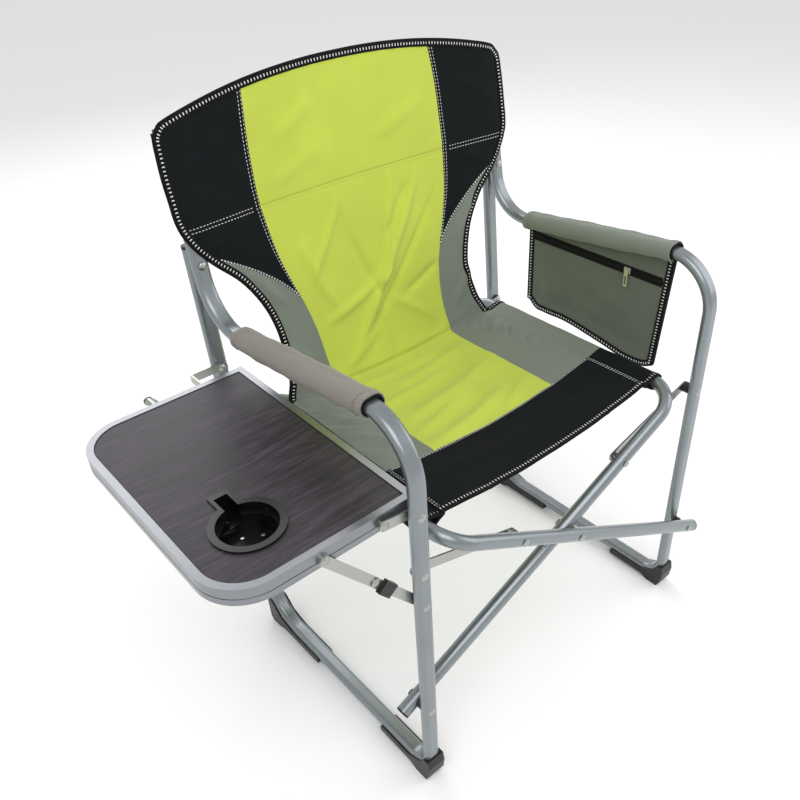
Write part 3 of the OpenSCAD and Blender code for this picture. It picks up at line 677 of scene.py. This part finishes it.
BACK_CREASES = [(-60, 500, 120, 735, 9, 3.4), (-20, 520, 150, 700, 6, -2.2),
    (-110, 560, 40, 610, 8, 2.2), (-120, 640, -40, 745, 7, 1.8), (20, 600, 70, 760, 6, 2.6),
    (60, 560, 135, 590, 7, -2.0), (-130, 700, -95, 590, 9, 2.0), (100, 740, 30, 660, 6, -1.8),
    (-40, 690, 10, 560, 8, -2.0), (-100, 480, -20, 520, 8, 1.6), (110, 500, 30, 560, 8, 1.8),
    (-130, 860, -60, 900, 10, 1.2), (40, 820, 150, 860, 10, 1.2), (-150, 800, -60, 830, 9, 1.0),
    (-200, 560, -160, 520, 8, 2.0), (205, 560, 160, 510, 8, 2.0), (-230, 690, -180, 620, 9, 1.6),
    (225, 680, 175, 620, 9, 1.6), (-290, 850, -220, 880, 11, 1.4), (290, 850, 215, 880, 11, 1.4),
    (-290, 740, -215, 765, 9, 1.4), (280, 735, 215, 760, 9, 1.4)]
SEAT_CREASES = [(-125, -50, 80, -8, 12, 2.9), (-120, -12, 40, 40, 11, 2.2),
    (-100, 30, 125, 70, 13, 3.0), (-118, 88, 50, 104, 10, 1.9), (-50, 118, 118, 140, 12, 2.6),
    (-105, 160, 80, 158, 8, 1.6), (40, -45, 120, -10, 9, 1.8), (215, 170, 170, 110, 6, 2.4),
    (215, 140, 160, 60, 6, 2.0), (215, 100, 170, 30, 7, 1.8), (-215, 170, -170, 110, 6, 2.4),
    (-215, 120, -160, 60, 7, 2.0), (-215, 60, -160, 0, 8, 1.6), (205, 185, 150, 165, 6, 2.0),
    (-205, 185, -150, 165, 6, 2.0), (-200, -110, 200, -125, 14, 1.0)]
# Gathers run in from both edges of the seat, as (y, reach, slant, width, height)
GATHERS = [(178, 52, 20, 4.5, 2.6), (160, 66, 26, 5, -2.2), (142, 44, 22, 4.5, 2.4),
           (122, 60, 30, 5.5, 2.0), (98, 40, 24, 5, -1.8), (76, 56, 26, 6, 1.8),
           (48, 38, 22, 5, 1.5), (18, 50, 24, 6, -1.3), (-12, 36, 20, 6, 1.2)]
for y, reach, slant, width, height in GATHERS:
    for side in (-1, 1):
        SEAT_CREASES.append((side * 226, y, side * (226 - reach), y - slant, width, height))


def wrinkled(grid, normals):
    """Adds the folds that the sewn canvas keeps, and presses its seams in."""
    x, y, z = grid[..., 0], grid[..., 1], grid[..., 2]
    rows, columns = np.arange(TOP + 1), np.arange(LAST + 1)
    is_back = rows[:, None] >= SEAM
    lift = sum(is_back * crease(x, z, *c) for c in BACK_CREASES)
    lift = sum((~is_back * crease(x, y, *c) for c in SEAT_CREASES), lift)
    ripple = (np.sin(x * 61 + z * 23 + 1.3) * np.sin(z * 47 - x * 19 + y * 31)) * 0.6 * MM
    # The seat's folds fade towards its edges, where the sleeves hold it
    from_edge = np.minimum(columns, columns[::-1])
    lift = np.where(is_back, 1.0, 0.12 + 0.88 * ease(from_edge, 0, 7)) * lift + ripple
    for row, depth in ((SEAM, 1.6), (CROSS, 1.2), (BAND, 1.0)):
        lift -= depth * MM * np.exp(-((np.abs(rows - row) / 1.6) ** 2))[:, None]
    for seam in (PANEL_L, PANEL_R):
        lift -= 0.9 * MM * np.exp(-((np.abs(columns - seam) / 1.3) ** 2))[None, :]
    return grid + normals * lift[..., None]


fine = twice_as_fine(sheet)
fine_flat = twice_as_fine(flat_sheet)
fine = wrinkled(fine, steady_corners(grid_normals(fine)))
fine_normals = steady_corners(grid_normals(fine))
# The middle line stays exactly in the middle, where the two halves of the back meet
fine[:, middle, 0] = 0.0
fine_normals[:, middle, 0] = 0.0
fine_normals = unit(fine_normals)


def grid_lengths(grid):
    """Distances to the next point along the rows of a grid, and along its columns."""
    return (np.linalg.norm(np.diff(grid, axis=1), axis=2),
            np.linalg.norm(np.diff(grid, axis=0), axis=2))


def grid_uvs(across, down):
    """UVs in metres, from a grid's steps along its rows and its columns."""
    uvs = np.zeros((len(down) + 1, across.shape[1] + 1, 2))
    uvs[:, 1:, 0] = np.cumsum(across, axis=1)
    uvs[1:, :, 1] = np.cumsum(down, axis=0)
    return uvs


across, down = grid_lengths(fine_flat)
uv = grid_uvs(across, down.mean(axis=1)[:, None])
uv[..., 0] -= uv[:, middle:middle + 1, 0]


def sling_piece(name, rows, cols, material, slot_name, bend, rests):
    """One panel of the sling. Its flat size is that of its part of the unsettled sheet."""
    part = slice(rows[0], rows[1] + 1), slice(cols[0], cols[1] + 1)
    obj = cloth_panel(name, fine[part], fine_normals[part], uv[part], material)
    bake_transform(obj)
    return obj


SEAT_BEND = ("left_cross", "right_cross", (-0.19, 0, 0), (0.19, 0, 0))


def back_bend(side):
    word = "left" if side < 0 else "right"
    return (f"{word}_frame", f"back_{word}", (side * 0.300, 0, 0), (side * 0.264, 0, 0))


rails = ["left_seat_sleeve", "right_seat_sleeve"]
seat_panel = sling_piece("seat_panel", (BAND, SEAM), (PANEL_L, PANEL_R), LIME, "sling_lime",
                         SEAT_BEND, rails)
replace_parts(seat_panel, "seat_left", "seat_right")
for side, word in SIDES:
    span = (0, PANEL_L) if side < 0 else (PANEL_R, LAST)
    half = (PANEL_L, middle) if side < 0 else (middle, PANEL_R)
    held_by = (back_bend(side), [f"{word}_tube"])
    sling_piece(f"seat_side_{word}", (BAND, SEAM), span, GREY, "sling_grey", SEAT_BEND,
                [f"{word}_seat_sleeve"])
    sling_piece(f"back_lower_side_{word}", (SEAM, DIP), span, GREY, "sling_grey", *held_by)
    sling_piece(f"back_upper_side_{word}", (DIP, TOP), span, BLACK, "sling_black", *held_by)
    panel = sling_piece(f"back_panel_{word}", (SEAM, TOP), half, LIME, "sling_lime", *held_by)
    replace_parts(panel, f"back_{word}")
sling_piece("seat_front_band", (0, BAND), (0, LAST), BLACK, "sling_black", SEAT_BEND, rails)


# ---------- trim on the sling
def surface_at(r, c):
    """Point and normal of the settled sheet at a row and column that may be fractions."""
    r = np.clip(np.asarray(r, float), 0, TOP)
    c = np.clip(np.asarray(c, float), 0, LAST)
    r, c = np.broadcast_arrays(r, c)
    r0, c0 = np.minimum(r.astype(int), TOP - 1), np.minimum(c.astype(int), LAST - 1)
    fr, fc = (r - r0)[..., None], (c - c0)[..., None]
    out = []
    for g in (fine, fine_normals):
        low = g[r0, c0] * (1 - fc) + g[r0, c0 + 1] * fc
        high = g[r0 + 1, c0] * (1 - fc) + g[r0 + 1, c0 + 1] * fc
        out.append(low * (1 - fr) + high * fr)
    return out[0], unit(out[1])


def even_marks(points, pitch, trim=0.0):
    """Indices, as fractions, of evenly spaced places along a row of points."""
    length = along(points)
    count = max(1, int((length[-1] - 2 * trim) / pitch))
    marks = trim + (np.arange(count) + 0.5) * (length[-1] - 2 * trim) / count
    return np.interp(marks, length, np.arange(len(points)))


def pick(values, marks):
    i = np.minimum(marks.astype(int), len(values) - 2)
    f = (marks - i)[:, None]
    return values[i] * (1 - f) + values[i + 1] * f


THREAD_R = 0.55 * MM


class Thread:
    """Gathers stitches, and makes them all, or those that keep allows, into one mesh."""

    def __init__(self):
        self.stitches = []

    def row(self, points, normals, pitch, length, lift, crosswise=False, inset=0.0, trim=0.0):
        """Stitches along a line, or across it, inset to the left of its direction."""
        marks = even_marks(points, pitch, trim)
        p, n = pick(points, marks), unit(pick(normals, marks))
        t = unit(pick(tangents(points), marks))
        side = np.cross(n, t)
        d = side if crosswise else t
        for face in (1, -1):
            self.stitches.append((p + side * inset + n * lift * face, d * length / 2, n * face,
                                  1.6 if crosswise else 1.0))

    def mesh(self, name, material, keep=lambda centre: True):
        """Each stitch is a short bar with pointed ends, raised a little off the cloth."""
        verts, faces = [], []
        for centre, half, normal, weight in self.stitches:
            side = unit(np.cross(half, normal)) * THREAD_R * weight
            up = normal * THREAD_R * 0.8
            for c, h, s, u in zip(centre, half, side, up):
                if not keep(c):
                    continue
                k = len(verts)
                verts += [c - h - u * 0.6, c + h - u * 0.6]
                for m in (c - h * 0.6, c + h * 0.6):
                    verts += [m + s, m + u, m - s, m - u]
                for a, b in ((0, 1), (1, 2), (2, 3), (3, 0)):
                    faces += [(k, k + 2 + b, k + 2 + a), (k + 1, k + 6 + a, k + 6 + b),
                              (k + 2 + a, k + 2 + b, k + 6 + b, k + 6 + a)]
        return build(name, verts, faces, material)


# Heights of stitches over the middle of the cloth and of its binding, and the binding's outline
STITCH_LIFT = CLOTH_T / 2 + 0.1 * MM
TAPE_TOP = 1.9 * MM
TAPE_PROFILE = np.array([(-1.3, 0), (-0.9, 1.3), (0, 1.9), (10.6, 1.9), (11.3, 1.2),
                         (11.3, -1.2), (10.6, -1.9), (0, -1.9), (-0.9, -1.3)]) * MM


def binding(name, edge, inward, normals):
    """Folded tape round the edge of a sheet."""
    tape = solid(name, edge, inward, normals, [TAPE_PROFILE] * len(edge), TAPE, math.radians(50))
    return tape


def evenly(points, normals, spacing):
    """The same line with evenly spaced points."""
    length = along(points)
    places = np.linspace(0, length[-1], max(3, int(length[-1] / spacing)))
    marks = np.interp(places, length, np.arange(len(points)))
    return pick(points, marks), unit(pick(normals, marks))


def sew(thread, r0, c0, r1, c1, trim=0.0):
    """Stitches along the sheet, between two places given by row and column."""
    count = max(3, int(max(abs(r1 - r0), abs(c1 - c0))) + 1)
    line = surface_at(np.linspace(r0, r1, count), np.linspace(c0, c1, count))
    thread.row(*line, *SEAM_STITCH, STITCH_LIFT, trim=trim)


# Pitch and length of the stitches, and the stitches by part and colour
BLANKET = (5.6 * MM, 5.2 * MM)
SEAM_STITCH = (5.4 * MM, 3.9 * MM)
white, toned, limed = ({"seat": Thread(), "back": Thread()} for _ in range(3))

for side, word, col in ((-1, "left", 0), (1, "right", LAST)):
    rows = np.arange(SEAM, TOP + 1)
    cols = np.arange(col, middle - side, -side)[1:]
    p, n = surface_at(np.concatenate([rows, np.full(len(cols), TOP)]),
                      np.concatenate([np.full(len(rows), col), cols]))
    p, n = evenly(p, n, 4 * MM)
    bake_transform(binding(f"binding_back_{word}", p, unit(np.cross(tangents(p), n)) * -side, n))
    white["back"].row(p, n, *BLANKET, TAPE_TOP, crosswise=True, inset=side * 6 * MM)
    seam = PANEL_L if side < 0 else PANEL_R
    for offset in (1.4, 3.4):
        beside = seam + side * offset
        sew(white["back"], DIP + 2, beside, TOP - 2, beside)
        sew(toned["back"], SEAM + 1, beside, DIP, beside)
        sew(toned["seat"], BAND + 1, beside, SEAM - 1, beside)
        beside = col - side * offset * 0.55
        sew(toned["seat"], BAND, beside, SEAM - 1, beside)
        sew(white["seat"], 3, beside, BAND - 1, beside)
    for row in (DIP + 0.6, DIP + 1.5):
        # The row ends at the edge, under the binding
        sew(white["back"], row, seam + side, row, col + 2 * side)
    for row in (CROSS - 1.7, CROSS + 1.7):
        sew(white["back"], row, seam + side, row, col, trim=12 * MM)
for row in (CROSS - 1.7, CROSS + 1.7):
    sew(limed["back"], row, PANEL_L, row, PANEL_R, trim=2 * MM)
for offset in (0.9, 2.0):
    sew(white["seat"], BAND - offset, 0, BAND - offset, LAST, trim=8 * MM)
    sew(limed["back"], SEAM + offset, PANEL_L, SEAM + offset, PANEL_R, trim=2 * MM)
    for start, end in ((0, PANEL_L), (PANEL_R, LAST)):
        sew(toned["seat"], SEAM - offset, start, SEAM - offset, end, trim=2 * MM)

cols = np.arange(0, LAST + 1)
p, n = surface_at(0, cols)
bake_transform(binding("binding_seat_front", p, unit(surface_at(1, cols)[0] - p), n))
white["seat"].row(p, n, *BLANKET, TAPE_TOP, crosswise=True, inset=6 * MM)

for colour, material, word in ((white, WHITE_THREAD, "white"), (toned, GREY_THREAD, "grey"),
                               (limed, LIME_THREAD, "lime")):
    if colour["seat"].stitches:
        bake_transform(colour["seat"].mesh(f"stitches_seat_{word}", material))
    for side, half in SIDES:
        obj = colour["back"].mesh(f"stitches_back_{word}_{half}", material,
                                  lambda c, s=side: c[0] * s >= 0)
        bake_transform(obj)


# ---------- cloth sleeves on the tubes
def cloth_loop(name, path, outline, material, thick,
               relief=lambda s, a: 0 * s * a):
    """A tube of cloth. outline holds pairs (sideways, outwards). relief gives the lift of the
    cloth from the distance along it and the place round it, both arrays."""
    side, out = cross_axes(path)
    ring_t = unit(np.roll(outline, -1, axis=0) - np.roll(outline, 1, axis=0))
    ring_n = np.stack([ring_t[:, 1], -ring_t[:, 0]], axis=1)
    if (ring_n * (outline - outline.mean(axis=0))).sum() < 0:
        ring_n = -ring_n
    girth, length = round_length(outline), along(path)
    rows, count = len(path), len(outline)
    lift = relief(length[:, None], np.arange(count)[None, :] / count * 2 * math.pi)
    shells = []
    for offset in (0.5, -0.5):
        prof = outline[None] + ring_n[None] * (lift + thick * offset)[..., None]
        shells.append(path[:, None] + prof[..., :1] * side[:, None] + prof[..., 1:] * out[:, None])
    total, last = rows * count, (rows - 1) * count
    faces = []
    for a, b, c, d in ring_faces(rows, count):
        faces += [(a, b, c, d), (total + b, total + a, total + d, total + c)]
    for k in range(count):
        j = (k + 1) % count
        faces += [(k, total + k, total + j, j),
                  (last + j, total + last + j, total + last + k, last + k)]
    uvs = np.stack(np.broadcast_arrays(girth[None, :-1], length[:, None]), axis=-1).reshape(-1, 2)
    obj = build(name, np.concatenate(shells).reshape(-1, 3), faces, material,
                uvs=np.concatenate([uvs, uvs]))
    sharpen(obj, math.radians(60))
    return obj


ARM_CLOTH = (-147 * MM, 159 * MM)
ARM_OUTLINE = oval_outline(OVAL_W + 9 * MM, OVAL_T + 7.5 * MM, 48)
LINING_OUTLINE = oval_outline(OVAL_W + 5 * MM, OVAL_T + 4.6 * MM, 48)
POST_OUTLINE = oval_outline(OVAL_W + 4.4 * MM, OVAL_T + 4.4 * MM, 44)
LINING_LENGTH, HEM = 12 * MM, 13 * MM
HEM_STITCH = (5 * MM, 3.6 * MM)


def arm_sleeve(side, word):
    frame_body, tube, x = f"{word}_frame", f"{word}_tube", side * HALF_W
    path = np.linspace(*((x, y, arm_height(y)) for y in ARM_CLOTH), 59)
    total = float(along(path)[-1])
    phase = 0.7 if side < 0 else 2.1

    def relief(s, a):
        hem = 0.9 * MM * (ease(HEM - s, 0, 1.5 * MM) + ease(s - total + HEM, 0, 1.5 * MM))
        bag = 1.6 * MM * np.sin(math.pi * s / total) ** 0.5
        fold = (np.sin(s * 62 + 2.4 * np.sin(a) + phase) * 0.5
                + np.sin(s * 141 - 2 * a + phase) * 0.35) * MM
        droop = 1.5 * MM * (0.5 - 0.5 * np.sin(a)) * np.sin(math.pi * s / total)
        return hem + bag + fold + droop

    material, slot_name = (TAUPE, "taupe_fabric") if side < 0 else (GREY, "sling_grey")
    obj = cloth_loop(f"arm_sleeve_{word}", path, ARM_OUTLINE, material, 1.8 * MM,
                     relief)
    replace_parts(obj, f"{word}_arm_sleeve")
    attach(obj, frame_body)
    # The lining shows a little at both ends
    t = unit(path[1] - path[0])
    for end, start in (("front", path[0] - t * 2.5 * MM), ("rear", path[-1] - t * 10.5 * MM)):
        ring = np.linspace(start, start + t * LINING_LENGTH, 4)
        inner = cloth_loop(f"arm_lining_{word}_{end}", ring, LINING_OUTLINE, LINING,
                           2.2 * MM)
        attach(inner, frame_body)
    # A row of stitches holds each hem
    rows = Thread()
    out = unit(np.cross(t, (1, 0, 0)))
    for place in (12 * MM, total - 12 * MM):
        lift = float(relief(place, 0.0))
        ring = ARM_OUTLINE * (1 + (lift + 1.3 * MM) / np.abs(ARM_OUTLINE).max())
        centre = path[0] + t * place
        pts = centre + np.outer(ring[:, 0], (1, 0, 0)) + np.outer(ring[:, 1], out)
        pts = np.vstack([pts, pts[:1]])
        rows.row(pts, unit(pts - centre), *HEM_STITCH, 0.0)
    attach(rows.mesh(f"arm_hem_stitches_{word}", GREY_THREAD), frame_body)


def back_post_sleeve(side, word):
    heights = CROSS_SEAM + 2 * MM, CORNER_TOP - 11 * MM
    path = np.linspace(*((side * HALF_W, back_y(z), z) for z in heights), 24)

    def relief(s, a):
        return (0.4 + 0.5 * np.sin(s * 95 + a) * np.sin(s * 33 - 2 * a)) * MM

    obj = cloth_loop(f"back_post_sleeve_{word}", path, POST_OUTLINE, BLACK,
                     1.5 * MM, relief)
    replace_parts(obj, f"{word}_back_sleeve")
    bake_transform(obj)


def rail_outline():
    """Loop round a seat rail and in under the seat, as (towards the middle, up)."""
    r = 12.6 * MM
    arc = [(r * math.cos(a), r * math.sin(a))
           for a in np.linspace(math.radians(88), math.radians(300), 24)]
    flap = np.array([(14, -6.5), (23, 0), (33, 5.2), (34, 6.3), (24, 7.7), (14, 10.4), (6, 12.2)])
    return np.vstack([arc, flap * MM])


def rail_sleeve(side, word):
    outline = rail_outline() * np.array([-side, 1])
    # Outwards is down for a loop that runs towards the rear
    loop = outline * np.array([1, -1])

    def at(y):
        return np.array([side * SEAT_RAIL_X, y, SEAT_RAIL_Z])

    def relief(s, a):
        return (0.3 + 0.45 * np.sin(s * 80 + 1.5 * a) * np.sin(s * 27 - a)) * MM

    for part, low, high, material in (("black", SEAT_FRONT, BAND_Y, BLACK),
                                      ("grey", BAND_Y, SEAM_Y, GREY)):
        obj = cloth_loop(f"rail_sleeve_{word}_{part}",
                         np.linspace(at(low), at(high), int((high - low) / (7 * MM))), loop,
                         material, 1.5 * MM, relief)
        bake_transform(obj)
        if part == "grey":
            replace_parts(obj, f"{word}_seat_sleeve")
    # A bound edge at each end, with blanket stitches over the rail
    ring = np.vstack([outline[-3:], outline[:22]]) * 1.17
    for end, low in (("front", SEAT_FRONT - 1.3 * MM), ("rear", SEAM_Y - 9 * MM)):
        hem = cloth_loop(f"rail_hem_{word}_{end}", np.linspace(at(low), at(low + 11 * MM), 6),
                         loop, TAPE, 3.4 * MM)
        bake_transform(hem)
        rows = Thread()
        centre = at(low + 5.5 * MM)
        pts = centre + np.stack([ring[:, 0], np.zeros(len(ring)), ring[:, 1]], axis=1)
        rows.row(pts, unit(pts - centre), *BLANKET, 0.0, crosswise=True)
        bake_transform(rows.mesh(f"rail_hem_stitches_{word}_{end}", WHITE_THREAD))


for side, word in SIDES:
    arm_sleeve(side, word)
    back_post_sleeve(side, word)
    rail_sleeve(side, word)


# ---------- pocket on the right armrest
# Hem of the pocket, as (y, height) in mm
POCKET_LOW = [(-140, 466), (-120, 456), (-89, 453), (-20, 463), (64, 474), (110, 473),
              (132, 475), (148, 488)]
ZIP_Z = 618 * MM
# The two rows of stitches along the zip tape, this far above and below its middle
ZIP_ROW_X, ZIP_ROW_Y, ZIP_ROW_Z = 296.4 * MM, (-138 * MM, 140 * MM), 11 * MM
# Inner face, outer face and middle of the pocket, and how much wider its binding is
POCKET_IN, POCKET_OUT, POCKET_X = 297.3 * MM, 301.5 * MM, 299.4 * MM
WIDER = 2.2


def pocket_face(x0, bulge):
    """Grid of one face of the pocket, from the front to the rear and from the arm to the hem."""
    s, t = np.meshgrid(np.linspace(0, 1, 75), np.linspace(0, 1, 49))
    front = -150 * MM + 14 * MM * t
    y = front + (153 * MM - front) * s
    top = arm_height(y) - 11 * MM
    z = top + (interpolate(POCKET_LOW, y / MM) * MM - top) * t
    # The cloth swells and folds below the zip, but not at its bound edges
    loose = ease(ZIP_Z - z, 12 * MM, 75 * MM) * ease(np.minimum(s, 1 - s), 0.045, 0.2)
    loose = loose * ease(1 - t, 0.09, 0.32)
    folds = ((np.sin(z * 70 + y * 26 + 0.6) * np.sin(y * 41 - z * 15)) * 2.0
             + np.sin((y - 0.3 * z) * 75) * 0.9
             + np.sin(z * 120 - y * 55 + 2) * 0.6) * MM * loose * 1.3
    return np.stack([x0 - (bulge * loose + folds * np.sign(bulge)), y, z], axis=-1)


def pocket_sheet(name, grid, facing):
    normals = grid_normals(grid)
    if normals[..., 0].mean() * facing < 0:
        normals = -normals
    width, length = grid_lengths(grid)
    obj = cloth_panel(name, grid, normals, grid_uvs(width, length), POCKET)
    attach(obj, "right_frame")
    return obj


def pocket():
    inner = pocket_face(POCKET_IN, 8 * MM)
    outer = pocket_face(POCKET_OUT, -5 * MM)[:, ::-1]
    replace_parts(pocket_sheet("pocket_inner", inner, -1), "pocket")
    pocket_sheet("pocket_outer", outer, 1)
    both = (inner + outer[:, ::-1]) / 2
    rim = np.concatenate([both[:-1, 0], both[-1, :-1], both[::-1, -1]])
    rim, normal = evenly(rim, np.broadcast_to((-1.0, 0, 0), rim.shape), 3 * MM)
    tape = binding("pocket_binding", rim, unit(np.cross(tangents(rim), normal)), normal)
    for v in tape.data.vertices:
        v.co.x = POCKET_X + (v.co.x - POCKET_X) * WIDER
    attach(tape, "right_frame")
    rows = Thread()
    rows.row(rim, normal, *BLANKET, WIDER * TAPE_TOP, crosswise=True, inset=-5.5 * MM)
    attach(rows.mesh("pocket_binding_stitches", WHITE_THREAD), "right_frame")
    rows = Thread()
    for z in (ZIP_Z + ZIP_ROW_Z, ZIP_Z - ZIP_ROW_Z):
        line = np.linspace(*((ZIP_ROW_X, y, z) for y in ZIP_ROW_Y), 60)
        rows.row(line, np.broadcast_to((-1.0, 0, 0), line.shape), *HEM_STITCH, 0.0)
    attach(rows.mesh("zip_tape_stitches", GREY_THREAD), "right_frame")
    teeth()


def teeth():
    """Moulded zip teeth along the middle of the tape, leaning to either side in turn."""
    verts, faces = [], []
    for i, y in enumerate(np.arange(-136 * MM, 142 * MM, 1.6 * MM)):
        z = ZIP_Z + (0.45 * MM if i % 2 else -0.45 * MM)
        k = len(verts)
        for x, size in ((296.1 * MM, 1.0), (295.1 * MM, 0.7)):
            verts += [(x, y + dy * size * MM, z + dz * size * MM)
                      for dy, dz in ((-0.5, -2.1), (0.5, -2.1), (0.5, 2.1), (-0.5, 2.1))]
        faces += [(k + 4, k + 5, k + 6, k + 7)]
        faces += [(k + j, k + (j + 1) % 4, k + 4 + (j + 1) % 4, k + 4 + j) for j in range(4)]
    obj = build("zip_teeth", verts, faces, PLASTIC, smooth=False)
    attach(obj, "right_frame")


pocket()


# ---------- carried-over CAD nodes
# Materials by the ends of the CAD nodes' names
for ends, material in ((("_member",), PAINT), (("cup_holder",), GLOSSY_PLASTIC),
                       (("_plugs", "_leg_cap", "_foot", "_spacers", "_caps", "_lock"), PLASTIC),
                       (("_pins", "_plates", "_link", "_strut", "_rivets"), ZINC),
                       (("table_edge",), ALUMINIUM), (("table_gasket",), RUBBER),
                       (("table_board",), WOOD), (("zip_slider", "zip_puller"), CHROME),
                       (("pocket_zip",), ZIP_TAPE)):
    for name in [n for n in cad_nodes if n.endswith(ends)]:
        cad_nodes[name].data.materials.clear()
        cad_nodes[name].data.materials.append(material)


# ---------- floor, lights, camera
def area_light(name, place, target, size, power):
    data = bpy.data.lights.new(name, "AREA")
    data.shape = "RECTANGLE"
    data.size, data.size_y = size
    data.energy = power
    obj = bpy.data.objects.new(name, data)
    obj.location = place
    obj.rotation_euler = (Vector(target) - Vector(place)).to_track_quat("-Z", "Y").to_euler()
    scene.collection.objects.link(obj)


FLOOR, PALE = 12, (0.93, 0.93, 0.93)
corners = [(-FLOOR, -FLOOR, 0), (FLOOR, -FLOOR, 0), (FLOOR, FLOOR, 0), (-FLOOR, FLOOR, 0)]
build("floor", corners, [(0, 1, 2, 3)], shader("pale floor", PALE, 0.9)[0], smooth=False)
area_light("key", (-1.2, -1.6, 3.2), target=(0, 0, 0.5), size=(2.6, 2.6), power=52)
area_light("fill", (2.6, -1.4, 1.8), target=(0, 0, 0.5), size=(2.4, 2.4), power=26)
area_light("rim", (0.8, 2.6, 2.4), target=(0, 0, 0.6), size=(2.4, 1.6), power=30)
world = bpy.data.worlds.new("studio")
world.use_nodes = True
background = world.node_tree.nodes["Background"]
background.inputs["Color"].default_value = (1, 1, 1, 1)
background.inputs["Strength"].default_value = 0.78
scene.world = world
scene.view_settings.view_transform = "Standard"

# The camera's place and its axes, fitted to the photograph
CAMERA_AT = (-0.7554, -0.7908, 1.2184)
CAMERA_RIGHT = Vector((0.7508, -0.6596, -0.0349))
CAMERA_DOWN = Vector((-0.4084, -0.4221, -0.8093))
CAMERA_AHEAD = Vector((0.5191, 0.6219, -0.5863))
camera_data = bpy.data.cameras.new("camera")
camera = bpy.data.objects.new("camera", camera_data)
scene.collection.objects.link(camera)
turn = Matrix((CAMERA_RIGHT, -CAMERA_DOWN, -CAMERA_AHEAD)).transposed()
camera.matrix_world = Matrix.Translation(CAMERA_AT) @ turn.to_4x4()
camera_data.lens = 36.76
camera_data.sensor_width = 36
camera_data.shift_x, camera_data.shift_y = -0.0334, 0.0265
scene.camera = camera
